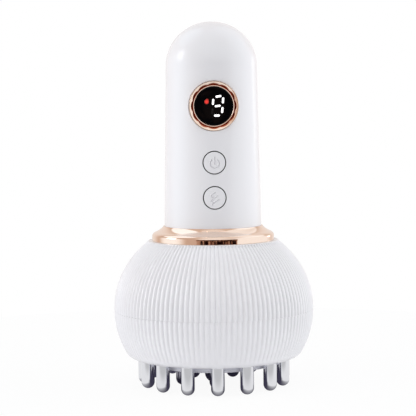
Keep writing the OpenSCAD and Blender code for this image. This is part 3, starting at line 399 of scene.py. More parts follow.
POLISHED = {"metal": 1.0, "mottle": 0.01, "spread": 0.02, "bump": 0.004}
LOOKS = {
    name: material(name, *values, **more) for name, values, more in (
        ("white_plastic", (WHITE, 0.42), {"mottle": 0.006, "coat": 0.6}),
        ("button_plastic", (WHITE, 0.40), {"mottle": 0.006, "coat": 0.4}),
        ("base_plastic", ((0.84, 0.845, 0.91), 0.38), {"mottle": 0.01}),
        ("rose_gold", (GOLD, 0.06), POLISHED),
        ("pin_chrome", ((0.87, 0.875, 0.91), 0.04), POLISHED),
        ("black_window", ((0.002, 0.002, 0.0025), 0.06),
         {"mottle": 0.2, "spread": 0.02, "bump": 0.002, "ior": 1.2}),
        ("digit_light", ((0.9, 0.9, 0.9), 0.4), {"emit": (1, 1, 1), "emit_strength": 1.0}),
        ("digit_dark", ((0.004, 0.004, 0.005), 0.3), {"mottle": 0.1}),
        ("heat_light", ((0.5, 0.03, 0.02), 0.4),
         {"emit": (0.75, 0.03, 0.025), "emit_strength": 0.8,
          "glow": ((HEAT_X, HEAT_Y, HEAT_Z), 0.20, 1.10)}),
        ("black_plastic", ((0.02, 0.02, 0.022), 0.5), {"mottle": 0.15, "bump": 0.08}),
        ("circuit_board", ((0.02, 0.16, 0.07), 0.35), {"mottle": 0.2, "grain": 500, "bump": 0.05}),
        ("connector_plastic", ((0.78, 0.75, 0.64), 0.5), {"mottle": 0.03, "bump": 0.05}),
        ("chassis_plastic", ((0.70, 0.70, 0.67), 0.55), {"mottle": 0.02, "bump": 0.06}),
        ("frame_plastic", ((0.035, 0.035, 0.04), 0.55), {"mottle": 0.1, "bump": 0.08}),
        ("screw_steel", ((0.62, 0.62, 0.64), 0.25),
         {"metal": 1.0, "mottle": 0.03, "stretch": (1, 1, 8)}),
        ("motor_steel", ((0.58, 0.58, 0.60), 0.28),
         {"metal": 1.0, "mottle": 0.03, "stretch": (1, 1, 12)}),
        ("weight_brass", ((0.62, 0.46, 0.2), 0.28),
         {"metal": 1.0, "mottle": 0.05, "stretch": (1, 1, 8)}),
        ("heater_aluminium", ((0.72, 0.73, 0.74), 0.3),
         {"metal": 1.0, "mottle": 0.03, "stretch": (12, 1, 1)}),
        ("heater_amber", ((0.55, 0.24, 0.04), 0.3), {"mottle": 0.08, "grain": 300}),
        ("cell_wrap", ((0.03, 0.12, 0.38), 0.3), {"mottle": 0.06, "grain": 300, "coat": 0.3}),
        ("soft_rubber", ((0.02, 0.02, 0.022), 0.7), {"mottle": 0.15, "bump": 0.1}),
        ("red_wire", ((0.45, 0.02, 0.015), 0.45), {"mottle": 0.06}),
        ("black_wire", ((0.012, 0.012, 0.014), 0.45), {"mottle": 0.1}),
        ("yellow_wire", ((0.62, 0.38, 0.02), 0.45), {"mottle": 0.06}),
    )
}
# The bezel's groove gets a dark copper colour as painted shade and painted dark reflection
BEZEL_GOLD = material("bezel_gold", GOLD, 0.06, recess=(0.50, 0.12, 0.05), **POLISHED)
# The inner pins and the stud are chrome like the outer pins; their darker colour is painted shade
# and painted dark reflection from under the head
SHADED_PIN_CHROME = material("shaded_pin_chrome", (0.30, 0.29, 0.34), 0.08, metal=1.0, mottle=0.02, spread=0.02,
                    bump=0.004)
# Each button's material paints shade on its side and flange, in the gap round the cap
CAPS = {z: material("cap_%d" % z, WHITE, 0.40, mottle=0.006, coat=0.4, side=z)
        for z in (POWER_Z, MODE_Z)}

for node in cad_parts.values():
    for place in node.material_slots:
        if place.material and place.material.name in LOOKS:
            place.material = LOOKS[place.material.name]

# Head shells. The lower one's ribs stand a little to the side of the upper one's. Downward they
# get shallower, to the share RIB_LOW of their depth, and then fade into the rim
RIBS = 120
RIB_STEPS = 10
COLUMNS = RIBS * RIB_STEPS
RIB_DEPTH = 0.65
RIB_LOW = 0.45
RIB_SHIFT = 0.11
RIB_SOFT = 0.06
CREST_INSET = 0.03
SEAM_EDGE = 0.06
SEAM_GAP = 0.012
LAP_GAP = 0.05
DECK_INNER_R, DECK_LEDGE, DECK_RIB = 20, 0.8, 0.35
FADE_LOW_Z, FADE_HIGH_Z = 13.6, 16.4

theta = np.arange(COLUMNS) * 2 * math.pi / COLUMNS


def smooth(x):
    """Smooth step from 0 to 1."""
    x = min(1.0, max(0.0, x))
    return x * x * (3 - 2 * x)


def groove(shift):
    """0 on a rib's crest and 1 in the valley beside it."""
    c = np.cos(math.pi * (theta * RIBS / (2 * math.pi) + shift))
    height = np.sqrt(c * c + RIB_SOFT ** 2) - RIB_SOFT
    return 1 - height / (math.sqrt(1 + RIB_SOFT ** 2) - RIB_SOFT)


def ribbed(r, z, depth, shift=0.0):
    """A ring of the fluted wall. Its crests lie a little inside r, and so within the solid."""
    radius = r - depth * (groove(shift) + CREST_INSET)
    return np.column_stack([radius * np.cos(theta), radius * np.sin(theta),
                            np.full(COLUMNS, float(z))])


def plain(r, z):
    return ribbed(r, z, 0.0)


def upper_shell():
    low = SEAM_Z + SEAM_GAP
    edge_r = head_r(DECK_Z - DECK_ROUND)
    rings = [np.array([[0, 0, DECK_Z]]), plain(DECK_INNER_R, DECK_Z),
             plain(edge_r - DECK_ROUND - DECK_LEDGE, DECK_Z)]
    for i in range(5):
        a = math.radians(90 - 22.5 * i)
        rings.append(ribbed(edge_r - DECK_ROUND + DECK_ROUND * math.cos(a),
                            DECK_Z - DECK_ROUND + DECK_ROUND * math.sin(a),
                            RIB_DEPTH * (DECK_RIB + (1 - DECK_RIB) * i / 4)))
    for z in np.linspace(DECK_Z - DECK_ROUND, low + SEAM_EDGE, 34)[1:]:
        rings.append(ribbed(head_r(z), z, RIB_DEPTH))
    for s, c in ROUNDING:
        r = head_r(low + SEAM_EDGE) - SEAM_EDGE * (1 - c)
        rings.append(ribbed(r, low + SEAM_EDGE * (1 - s), RIB_DEPTH))
    rings += [plain(LAP_R + LAP_GAP, low), plain(LAP_R + LAP_GAP, LAP_SEAT_Z)]
    for z in np.linspace(LAP_SEAT_Z, DECK_UNDER_Z, 10):
        rings.append(plain(head_r(z, WALL), z))
    rings.append(np.array([[0, 0, DECK_UNDER_Z]]))
    return skin(rings)


# The rim's arc, tangent to the bowl where it begins and to the rim's flat where it ends
ROUND_T = (BELT_Z - ROUND_Z) / BOWL_H
ROUND_SLOPE = (HEAD_R / BOWL_H * ROUND_T ** (BOWL_P - 1)
               * (1 - ROUND_T ** BOWL_P) ** (1 / BOWL_P - 1))
ROUND_ANGLE = math.atan(ROUND_SLOPE)
ROUND_R = (ROUND_Z - RIM_Z) / (1 - math.sin(ROUND_ANGLE))
RIM_FLAT_R = head_r(ROUND_Z) - ROUND_R * math.cos(ROUND_ANGLE)
FLOOR_HOLE_R = BOSS_R + HOLE_GAP


def pin_places(count, radius):
    for k in range(count):
        a = math.radians(-90 + 360 * k / count)
        yield radius * math.cos(a), radius * math.sin(a)


def hole_loop(x, y, r, n):
    return circle(n, r, 0)[:, :2] + np.array([x, y])


def stacked(loops, levels, shape, lid):
    """A solid between two flat sheets with holes, whose triangles are the lid.

    levels are steps outward and heights, from the lower sheet to the upper one, and shape gives
    a loop at such a step."""
    verts = []
    counts = [len(loop) for loop in loops]
    total = sum(counts)
    for step, z in levels:
        for index, loop in enumerate(loops):
            verts.extend([[x, y, z] for x, y in shape(index, loop, step)])
    faces = [tuple(reversed(t)) for t in lid]
    faces += [tuple((len(levels) - 1) * total + i for i in t) for t in lid]
    low = 0
    for n in counts * (len(levels) - 1):
        faces += quads(range(low, low + n), range(low + total, low + total + n))
        low += n
    return verts, faces


def lower_shell():
    """The bowl with its rim, and its floor with a hole for the base and one for each outer pin."""
    def fade(z):
        kept = RIB_LOW + (1 - RIB_LOW) * max(0.0, z - FADE_HIGH_Z) / (SEAM_Z - FADE_HIGH_Z)
        return RIB_DEPTH * kept * smooth((z - FADE_LOW_Z) / (FADE_HIGH_Z - FADE_LOW_Z))

    top = SEAM_Z - SEAM_GAP
    rings = [plain(LAP_R, top)]
    for s, c in reversed(ROUNDING):
        r = head_r(top - SEAM_EDGE) - SEAM_EDGE * (1 - c)
        rings.append(ribbed(r, top - SEAM_EDGE * (1 - s), RIB_DEPTH, RIB_SHIFT))
    for z in (*np.linspace(top - SEAM_EDGE, FADE_HIGH_Z, 18),
              *np.linspace(FADE_HIGH_Z, ROUND_Z, 7)[1:]):
        rings.append(ribbed(head_r(z), z, fade(z), RIB_SHIFT))
    for i in range(1, 13):
        a = ROUND_ANGLE + (math.pi / 2 - ROUND_ANGLE) * i / 12
        z = RIM_Z + ROUND_R - ROUND_R * math.sin(a)
        rings.append(ribbed(RIM_FLAT_R + ROUND_R * math.cos(a), z, fade(z), RIB_SHIFT))
    verts, faces = skin(rings)
    last = len(verts) - COLUMNS
    rim = circle(COLUMNS, RIM_FLAT_R, 0)[:, :2]
    loops = [rim, circle(192, FLOOR_HOLE_R, 0)[:, :2]]
    loops += [hole_loop(x, y, PIN_R + HOLE_GAP, 32)
              for x, y in pin_places(OUTER_PINS, OUTER_RING_R)]
    lid = sheet(loops)
    low = len(verts)
    holes = [p for loop in loops[1:] for p in loop]
    verts += [[x, y, RIM_Z] for x, y in holes]
    high = len(verts)
    verts += [[x, y, FLOOR_TOP_Z] for x, y in holes]
    inner_start = len(verts)
    inner = [plain(head_r(z, WALL), z) for z in np.linspace(FLOOR_TOP_Z, SEAM_Z, 9)]
    inner += [plain(LAP_IN_R - 0.02, LAP_TOP_Z), plain(LAP_R, LAP_TOP_Z)]
    inner_verts, inner_faces = skin(inner)
    verts += inner_verts
    faces += [tuple(inner_start + i for i in f) for f in inner_faces]
    for rim_start, hole_start in ((last, low), (inner_start, high)):
        faces += [tuple(rim_start + i if i < COLUMNS else hole_start + i - COLUMNS for i in t)
                  for t in lid]
    for loop in loops[1:]:
        n = len(loop)
        faces += quads(range(low, low + n), range(high, high + n))
        low, high = low + n, high + n
    faces += quads(range(len(verts) - COLUMNS, len(verts)), range(COLUMNS))
    return verts, faces


piece("upper_shell", [upper_shell()], LOOKS["white_plastic"], "housing", ["upper_head_shell"],
      60)
piece("lower_shell", [lower_shell()], LOOKS["white_plastic"], "housing", ["lower_head_shell"],
      60)


# Base plate and pins

def base_plate():
    edge_r = BOSS_R - BOSS_EDGE
    bottom = [circle(240, edge_r, 0)[:, :2]]
    bottom += [hole_loop(x, y, PIN_R + HOLE_GAP, 40)
               for x, y in pin_places(INNER_PINS, INNER_RING_R)]
    bottom.append(hole_loop(0, 0, STUD_R + HOLE_GAP, 56))
    lid = sheet(bottom)
    steps = [(0, PLATE_FACE_Z)]
    for i in range(1, 7):
        a = math.radians(15 * i)
        steps.append((BOSS_EDGE * math.sin(a), PLATE_FACE_Z + BOSS_EDGE - BOSS_EDGE * math.cos(a)))
    steps.append((BOSS_EDGE, PIN_SEAT_Z))

    def shape(index, loop, step):
        return loop * ((edge_r + step) / edge_r) if index == 0 else loop

    return stacked(bottom, steps, shape, lid)


def pin(x, y, r, tip_z, flange_r, spigot_r):
    """A pin with a round tip, and the flange and spigot that hold it on the heating plate."""
    profile = [(0, tip_z)]
    for i in range(1, 15):
        a = math.radians(90 * i / 14)
        profile.append((r * math.sin(a), tip_z + r - r * math.cos(a)))
    profile += [(r, PLATE_FACE_Z), (r - PIN_DRAFT, PIN_SEAT_Z), (flange_r, PIN_SEAT_Z),
                (flange_r, HEATER_Z), (spigot_r, HEATER_Z), (spigot_r, SPIGOT_TOP_Z),
                (0, SPIGOT_TOP_Z)]
    return lathe(profile, 56, centre=(x, y, 0))


piece("base", [base_plate()], LOOKS["base_plastic"], "housing", ["base_plate"])
piece("pins_outer", [pin(x, y, PIN_R, 0, PIN_FLANGE_R, PIN_SPIGOT_R)
                     for x, y in pin_places(OUTER_PINS, OUTER_RING_R)],
      LOOKS["pin_chrome"], "housing", ["outer_pins"])
piece("pins_inner", [pin(x, y, PIN_R, INNER_TIP_Z, PIN_FLANGE_R, PIN_SPIGOT_R)
                     for x, y in pin_places(INNER_PINS, INNER_RING_R)],
      SHADED_PIN_CHROME, "housing", ["inner_pins"])
piece("stud", [pin(0, 0, STUD_R, INNER_TIP_Z, STUD_FLANGE_R, STUD_SPIGOT_R)],
      SHADED_PIN_CHROME, "housing", ["centre_stud"])


# Collar

def bezier(p, n):
    """n points along a cubic curve."""
    a, b, c, d = (np.array(q, float) for q in p)
    points = []
    for t in np.linspace(0, 1, n):
        u = 1 - t
        points.append(tuple(u ** 3 * a + 3 * t * u ** 2 * b + 3 * t * t * u * c + t ** 3 * d))
    return points


def collar():
    """The ogee ring: an upright band, a shoulder drawn in to the waist, and a flare to the lip."""
    band_top = np.array([COLLAR_R, COLLAR_BAND_Z])
    waist = np.array(COLLAR_WAIST)
    lip = np.array([COLLAR_LIP_R, COLLAR_TOP_Z])
    s, f = SHOULDER_REACH, FLARE_REACH
    inner = REBATE_R + 0.1
    shoulder = bezier(
        (band_top, band_top + s * [-0.05, 0.55], waist + s * [0.46, -0.22], waist), 22)
    flare = bezier((waist, waist + f * [-0.36, 0.20], lip + f * [0.19, -0.34], lip), 22)
    profile = [(inner, COLLAR_TOP_Z - 0.15), (inner, DECK_Z + 0.01),
               (COLLAR_R - 0.08, DECK_Z + 0.01), (COLLAR_R, DECK_Z + 0.09),
               (COLLAR_R, DECK_Z + 1.5), (COLLAR_R, COLLAR_BAND_Z - 0.22)]
    profile += shoulder[1:] + flare[1:-1]
    profile += [(COLLAR_LIP_R - 0.02, COLLAR_TOP_Z - 0.02), (21.6, COLLAR_TOP_Z),
                (21.35, COLLAR_TOP_Z - 0.06)]
    return lathe(profile, 288, wrap=True)


piece("collar", [collar()], LOOKS["rose_gold"], "housing", ["collar_ring"], 40)

# Grip sleeve
SLEEVE_COLUMNS = 180
SLEEVE_ROWS = 44
DOME_ROWS = 30
HOLE_EDGE = 0.16


def round_loop(r, n):
    """Points in X and Z, each with the direction outward."""
    a = np.arange(n) * 2 * math.pi / n
    return [(r * math.cos(t), r * math.sin(t), math.cos(t), math.sin(t)) for t in a]


def oval_loop(half, r, n):
    """The same for an obround: two half circles, each half to one side."""
    out = []
    for side in (1, -1):
        for i in range(n // 2):
            t = -math.pi / 2 + math.pi * i / (n // 2 - 1)
            c, s = side * math.cos(t), side * math.sin(t)
            out.append((side * half + r * c, r * s, c, s))
    return out


SLEEVE_HOLES = [
    (round_loop(BEZEL_R + HOLE_GAP, 96), DISPLAY_Z, -1),
    (round_loop(BUTTON_HOLE_R, 72), POWER_Z, -1),
    (round_loop(BUTTON_HOLE_R, 72), MODE_Z, -1),
    (oval_loop(2.9, 1.9, 56), SOCKET_Z, 1),
]


def sleeve_ring(hole, out, sunk, inset=0.0):
    """A hole's loop, grown by out, on the grip's surface or sunk below it."""
    loop, z0, side = hole
    points = []
    for x, z, nx, nz in loop:
        px, pz = x + out * nx, z0 + z + out * nz
        py = math.sqrt((grip_r(pz) - inset) ** 2 - px ** 2) - sunk
        points.append((px, side * py, pz))
    return points


def sleeve():
    """The hollow grip: its wall is triangulated unrolled, with its holes, and then wrapped."""
    rows = np.linspace(COLLAR_TOP_Z, DOME_Z, SLEEVE_ROWS + 1)

    def flat(p):
        return (math.atan2(p[1], p[0]) % (2 * math.pi)) * GRIP_MEAN_R, p[2]

    width = 2 * math.pi * GRIP_MEAN_R
    step = width / SLEEVE_COLUMNS
    edge = [(i * step, rows[0]) for i in range(SLEEVE_COLUMNS + 1)]
    edge += [(width, z) for z in rows[1:-1]]
    edge += [(i * step, rows[-1]) for i in range(SLEEVE_COLUMNS, -1, -1)]
    edge += [(0.0, z) for z in rows[-2:0:-1]]
    outer_loops = [sleeve_ring(h, HOLE_EDGE, 0) for h in SLEEVE_HOLES]
    guard_loops = [sleeve_ring(h, HOLE_EDGE + 0.25, 0) for h in SLEEVE_HOLES]
    keep_out = [[flat(p) for p in sleeve_ring(h, HOLE_EDGE + 0.75, 0)] for h in SLEEVE_HOLES]
    grid = np.array([(i * step, z) for z in rows[1:-1] for i in range(1, SLEEVE_COLUMNS)])
    free = np.ones(len(grid), bool)
    for loop in keep_out:
        free &= ~inside(grid, loop)
    spare = [flat(p) for loop in guard_loops for p in loop] + [tuple(p) for p in grid[free]]
    loops = [edge] + [[flat(p) for p in loop] for loop in outer_loops]
    tris = sheet(loops, spare)
    flats = [p for loop in loops for p in loop] + spare
    # The two upright edges of the unrolled sheet are one line on the grip
    merge, seen = {}, {}
    for i, (u, z) in enumerate(flats):
        key = (round(u % width, 5) if abs(u - width) > 1e-6 else 0.0, round(z, 5))
        merge[i] = seen.setdefault(key, i)

    def wrapped(inset):
        points = []
        for u, z in flats:
            a = u / GRIP_MEAN_R
            r = grip_r(z) - inset
            points.append([r * math.cos(a), r * math.sin(a), z])
        return points

    outside, within = wrapped(0.0), wrapped(GRIP_WALL)
    start = len(edge)
    spans = []
    for hole, loop in zip(SLEEVE_HOLES, outer_loops):
        for i, p in enumerate(loop):
            outside[start + i] = list(p)
        for i, p in enumerate(sleeve_ring(hole, 0.0, 0.0, GRIP_WALL)):
            within[start + i] = list(p)
        spans.append((start, len(loop)))
        start += len(loop)
    verts = outside + within
    shift = len(outside)
    faces = [tuple(merge[i] for i in t) for t in tris]
    faces += [tuple(shift + merge[i] for i in reversed(t)) for t in tris]
    for hole, (begin, n) in zip(SLEEVE_HOLES, spans):
        previous = [begin + i for i in range(n)]
        for s, c in ROUNDING:
            current = list(range(len(verts), len(verts) + n))
            verts += [list(p) for p in sleeve_ring(hole, HOLE_EDGE * (1 - s), HOLE_EDGE * (1 - c))]
            faces += quads(previous, current)
            previous = current
        faces += quads(previous, [shift + begin + i for i in range(n)])

    def edge_ring(row, side):
        base = 0 if row == 0 else SLEEVE_COLUMNS + 1 + len(rows) - 2
        order = range(SLEEVE_COLUMNS) if row == 0 else range(SLEEVE_COLUMNS, 0, -1)
        return [side * shift + merge[base + i] for i in order]

    # Dome, outside and inside
    for side, inset in ((0, 0.0), (1, GRIP_WALL)):
        previous = edge_ring(1, side)
        for k in range(1, DOME_ROWS):
            a = math.radians(90 * k / DOME_ROWS)
            current = list(range(len(verts), len(verts) + SLEEVE_COLUMNS))
            verts += circle(SLEEVE_COLUMNS, (GRIP_TOP_R - inset) * math.cos(a),
                            DOME_Z + (TOP_Z - DOME_Z - inset) * math.sin(a)).tolist()
            faces += quads(previous, current)
            previous = current
        verts.append([0, 0, TOP_Z - inset])
        faces += [(previous[i], previous[(i + 1) % SLEEVE_COLUMNS], len(verts) - 1)
                  for i in range(SLEEVE_COLUMNS)]
    # Foot: a step into the collar
    previous = edge_ring(0, 0)
    for r, z in ((REBATE_R, COLLAR_TOP_Z), (REBATE_R, DECK_Z + 0.1),
                 (GRIP_BASE_R - GRIP_WALL, DECK_Z + 0.1)):
        current = list(range(len(verts), len(verts) + SLEEVE_COLUMNS))
        verts += circle(SLEEVE_COLUMNS, r, z).tolist()
        faces += quads(previous, current)
        previous = current
    faces += quads(previous, edge_ring(0, 1))
    used = sorted({i for f in faces for i in f})
    where = {old: new for new, old in enumerate(used)}
    faces = [tuple(where[i] for i in f) for f in faces if len(set(f)) == len(f)]
    return [verts[i] for i in used], faces


piece("sleeve", [sleeve()], LOOKS["white_plastic"], "housing", ["handle_sleeve"],
      40)

# Buttons. A sign is a low ridge, and a cut along one side of it gives its dark line
ICON_H, ICON_CUT = 0.10, 0.32
ICON_HALF = 0.20
ICON_STEP = (0.20, -0.08)
RIDGE_SOFT, CUT_SOFT = 0.16, 0.12
FAR = 9.0
POWER_CENTRE, POWER_R, POWER_GAP = (-0.02, -0.32), 1.92, math.radians(38)
POWER_STEM = ((0.04, -0.5), (0.04, 2.3))
MODE_STROKES = [
    [(0.06, 2.43), (-1.58, 1.15), (-1.62, 0.8), (-1.01, 0.34)],
    [(0.95, 0.87), (-1.58, -1.02), (-1.62, -1.38), (-0.94, -1.76)],
    [(1.55, -0.84), (-1.15, -2.55), (-1.15, -3.1)],
]


def segment_distance(x, z, a, b):
    """Distance of points from the straight line between a and b."""
    ax, az, bx, bz = *a, *b
    dx, dz = bx - ax, bz - az
    t = np.clip(((x - ax) * dx + (z - az) * dz) / (dx * dx + dz * dz), 0, 1)
    return np.hypot(x - ax - t * dx, z - az - t * dz)


def power_sign(x, z):
    """Distance to the middle of the sign's strokes: an arc open above, and a stem."""
    dx, dz = x - POWER_CENTRE[0], z - POWER_CENTRE[1]
    angle = np.abs(np.arctan2(dx, dz))
    arc = np.where(angle > POWER_GAP, np.abs(np.hypot(dx, dz) - POWER_R), FAR)
    for side in (-1, 1):
        end_x = side * POWER_R * math.sin(POWER_GAP)
        arc = np.minimum(arc, np.hypot(dx - end_x, dz - POWER_R * math.cos(POWER_GAP)))
    return np.minimum(arc, segment_distance(x, z, *POWER_STEM))


def mode_sign(x, z):
    """The same for three slanting strokes that bend back."""
    best = np.full(x.shape, FAR)
    for stroke in MODE_STROKES:
        for a, b in zip(stroke, stroke[1:]):
            best = np.minimum(best, segment_distance(x, z, a, b))
    return best


def button(z0, sign):
    """A cap whose face follows the grip, with its sign raised on it, a flange and a post."""
    n = 240
    angle = np.arange(n) * 2 * math.pi / n

    def stroke_mask(x, z, soft):
        return np.clip((ICON_HALF + soft / 2 - sign(x, z)) / soft, 0, 1)

    def face_ring(r, sunk=0.0):
        x, z = r * np.cos(angle), r * np.sin(angle)
        surface = np.sqrt(np.array([grip_r(z0 + v) for v in z]) ** 2 - x ** 2)
        ridge = stroke_mask(x + ICON_STEP[0], z + ICON_STEP[1], RIDGE_SOFT)
        cut = stroke_mask(x - ICON_STEP[0], z - ICON_STEP[1], CUT_SOFT)
        rise = ICON_H * ridge * (1 - cut) - ICON_CUT * cut
        return np.column_stack([x, -(surface + rise - sunk), z0 + z])

    rings = [face_ring(0.001).mean(axis=0).reshape(1, 3)]
    for r in np.linspace(0, CAP_R - CAP_EDGE, 88)[1:]:
        rings.append(face_ring(r))
    for s, c in ROUNDING:
        rings.append(face_ring(CAP_R - CAP_EDGE * (1 - s), CAP_EDGE * (1 - c)))
    wall_y = -(grip_r(z0) - GRIP_WALL)
    for r, y in ((CAP_R, 0), (FLANGE_R, 0), (FLANGE_R, FLANGE_T), (POST_R, FLANGE_T),
                 (POST_R, POST_REACH)):
        rings.append(np.column_stack([r * np.cos(angle), np.full(n, wall_y + y),
                                      z0 + r * np.sin(angle)]))
    rings.append(np.array([[0, wall_y + POST_REACH, z0]]))
    return skin(rings)


piece("power_cap", [button(POWER_Z, power_sign)], CAPS[POWER_Z], "power_button", ["power_button"],
      50)
piece("mode_cap", [button(MODE_Z, mode_sign)], CAPS[MODE_Z], "mode_button", ["mode_button"],
      50)


# Display

def bezel():
    """The scalloped ring, from (radius, depth behind its front) points."""
    n = SCALLOPS * 16
    angle = -math.pi / 2 + np.arange(n) * 2 * math.pi / n
    half = math.pi / SCALLOPS
    off = (angle + math.pi / 2 + half) % (2 * half) - half
    scallop = (SCALLOP_RING_R * np.cos(off)
               + np.sqrt(SCALLOP_R ** 2 - (SCALLOP_RING_R * np.sin(off)) ** 2))
    edge = (CREST_R - scallop) * BEVEL
    profile = [
        (8.36, 0.74), (8.40, 0.62), (8.56, 0.44), (8.64, 0.40), (8.72, 0.43), (8.80, 0.52),
        (8.88, 0.66), (8.91, 0.78), (8.95, 0.90), (9.0, 0.95), (scallop - 0.14, 0.95),
        (scallop - 0.03, 0.90), (scallop, edge + 0.12), (scallop + 0.03, edge + 0.03),
        (scallop + 0.09, edge - 0.03), (scallop * 0.5 + CREST_R * 0.5, edge * 0.5),
        (CREST_R - 0.12, 0.05), (CREST_R - 0.03, 0.01), (CREST_R + 0.06, 0.02),
        (BEZEL_R - 0.07, 0.10), (BEZEL_R - 0.02, 0.22), (BEZEL_R, 0.40), (BEZEL_R, BEZEL_DEPTH),
        (9.45, BEZEL_DEPTH), (9.45, 2.15), (8.36, 2.15)]
    rings = []
    for r, depth in profile:
        r = np.broadcast_to(r, n)
        y = BEZEL_FRONT_Y + np.broadcast_to(depth, n)
        rings.append(np.column_stack([r * np.cos(angle), y, DISPLAY_Z + r * np.sin(angle)]))
    return skin(rings, wrap=True)


def window():
    y = WINDOW_FACE_Y
    profile = [(0, y), (4, y), (WINDOW_R - 0.35, y + 0.01), (WINDOW_R - 0.13, y + 0.03),
               (WINDOW_R - 0.03, y + 0.1), (WINDOW_R, y + 0.2), (WINDOW_R, y + 1.45),
               (9.35, y + 1.45), (9.35, y + 2.65), (0, y + 2.65)]
    return lathe(profile, 128, axis="Y", centre=(0, 0, DISPLAY_Z))


# The digit's seven strokes: x and z of the middle, and the turn
DIGIT_X, DIGIT_H, DIGIT_W, STROKE_T = 1.68, 9.3, 4.2, 1.15
LEAN, RISE = math.radians(5), math.radians(8)
STEP = (DIGIT_H - STROKE_T) / 2
HALF_W = DIGIT_W / 2
SIDE_RISE = HALF_W * math.tan(RISE)
UPRIGHT = math.pi / 2 - LEAN
STROKES = [
    (0, STEP, RISE),
    (HALF_W, STEP / 2 + SIDE_RISE, UPRIGHT), (HALF_W, SIDE_RISE - STEP / 2, UPRIGHT),
    (0, -STEP, 0),
    (-HALF_W, -STEP / 2 - SIDE_RISE, UPRIGHT), (-HALF_W, STEP / 2 - SIDE_RISE, UPRIGHT),
    (0, 0, RISE)]
LIT, UNLIT = (0, 1, 2, 3, 5, 6), 4
LIT_R, LIT_REACH = 0.43, 0.84
LIGHT_Y, LIGHT_T = WINDOW_FACE_Y - 0.015, 0.4
HEAT_R, HEAT_POINT, HEAT_TURN = 0.95, 0.42, math.radians(-20)


def flat_solid(outline, y0, y1, edge=0.05):
    """A plate with a softened front edge: an outline in X and Z, from depth y0 to y1."""
    loop = np.asarray(outline)
    middle = loop.mean(axis=0)
    inner = middle + (loop - middle) * (1 - edge)
    rings = [np.array([[middle[0], y0, middle[1]]])]
    for shape, y in ((inner, y0), (loop, y0 + edge * 0.4), (loop, y1)):
        rings.append(np.column_stack([shape[:, 0], np.full(len(shape), y), shape[:, 1]]))
    rings.append(np.array([[middle[0], y1, middle[1]]]))
    return skin(rings)


def turned_plate(points, x, z, turned):
    """A light's plate from points round its own middle."""
    c, s = math.cos(turned), math.sin(turned)
    outline = [(x + c * u - s * v, z + s * u + c * v) for u, v in points]
    return flat_solid(outline, LIGHT_Y, LIGHT_Y + LIGHT_T)


def stroke(k):
    """One stroke of the digit: a bar with round ends."""
    x, z, turned = STROKES[k]
    points = []
    for side in (1, -1):
        for i in range(13):
            t = -math.pi / 2 + math.pi * i / 12
            points.append((side * (LIT_REACH + LIT_R * math.cos(t)), side * LIT_R * math.sin(t)))
    return turned_plate(points, DIGIT_X + x + z * math.tan(LEAN), DISPLAY_Z + z, turned)


def heat_drop():
    """A drop: round below, drawn to a point above, turned a little."""
    points = []
    for i in range(40):
        t = 2 * math.pi * i / 40
        r = HEAT_R * (1 + HEAT_POINT * max(0.0, math.cos(t)) ** 6)
        points.append((r * math.sin(t), r * math.cos(t)))
    return turned_plate(points, HEAT_X, HEAT_Z, HEAT_TURN)


piece("bezel", [bezel()], BEZEL_GOLD, "housing", ["display_bezel"], 38)
piece("window", [window()], LOOKS["black_window"], "housing", ["display_window"])
piece("digit", [stroke(k) for k in LIT], LOOKS["digit_light"], "housing", ["digit_segments"])
piece("digit_off", [stroke(UNLIT)], LOOKS["digit_dark"], "housing", ["unlit_segment"])
piece("heat_sign", [heat_drop()], LOOKS["heat_light"], "housing", ["heat_indicator"])

# Studio
CHANNELS = ("Red", "Green", "Blue")
PURE_WHITE = (1.0, 1.0, 1.0)
SOFT_COLOUR = (0.985, 0.99, 1.0)
# Each lobe: its direction, the cosines where it begins and where it is full, its radiance
AMBIENT = 0.08
LOBES = [
    ((-0.96, -0.25, 0.0), 0.45, 0.95, 1.68),
    ((0.99, -0.10, 0.0), 0.45, 0.95, 1.69),
    ((0.0, 0.0, 1.0), 0.35, 0.95, 1.0),
]
# What polished surfaces see of the studio: the same tent with its softboxes, tinted warm
GLOSS_MOST = 1.15
GLOSS_AMBIENT = 0.62
GLOSS_LOBES = [
    ((-1.0, 0.0, 0.0), 0.78, 0.99, 0.46),
    ((0.98, -0.20, 0.0), 0.45, 0.80, 0.40),
    ((0.0, 1.0, 0.0), 0.50, 0.90, 0.26),
    ((0.0, 0.0, 1.0), 0.60, 0.90, 0.07),
    ((0.0, -0.05, 0.99), 0.962, 0.976, 0.20),
    ((-0.50, 0.35, 0.79), 0.925, 0.955, 0.50),
    ((0.50, 0.33, 0.80), 0.89, 0.925, 0.30),
    ((0.0, -0.80, 0.60), 0.80, 0.95, 0.34),
]
WARM_POWERS = (1.0, 1.6, 2.0)
# Two white lamps: the dome's highlight on the left and its bright line on the right
LAMP_COLOUR = (0.8, 0.8, 0.8)
GLOSS_LAMPS = [
    ((-0.941, 0.024, 0.34), 0.972, 0.992, 4.4),
    ((0.785, 0.615, 0.08), 0.988, 0.998, 1.6),
]
# The dark side behind the camera, mottled brown, which ends a little above the horizon
DARK_AXIS, DARK_BEGIN, DARK_FULL = (0.09, -1.0, 0.10), 0.755, 0.80
DARK_TOP, DARK_TOP_END = 0.20, 0.27
DARK_TONE, BROWN_TONE = 0.006, 0.42
BROWN_SCALE, BROWN_DETAIL, BROWN_BEGIN, BROWN_FULL = 13.0, 3, 0.50, 0.57
FLOOR_R = 250
FLOOR_COLOUR = (0.90, 0.90, 0.91)
# What reflections see of the floor: dimmer in front, bright far in front, and a painted shadow of
# the head under it.
# Places and radii from here on are in metres
FLOOR_FRONT, FLOOR_SIDE = 0.58, 0.84
FLOOR_FRONT_Y, FLOOR_SIDE_Y = -0.074, -0.032
FLOOR_FAR, FLOOR_FAR_Y, FLOOR_FAR_FULL_Y = 0.92, -0.112, -0.122
FLOOR_SHADOW_R, FLOOR_SHADOW_END_R = 0.029, 0.041
FLOOR_SHADOW_COLOUR = (0.050, 0.046, 0.075)
# How much of the matt floor the camera sees, and its own glow for all other rays
FLOOR_SHADE = 0.07
FLOOR_GLOW = 0.08


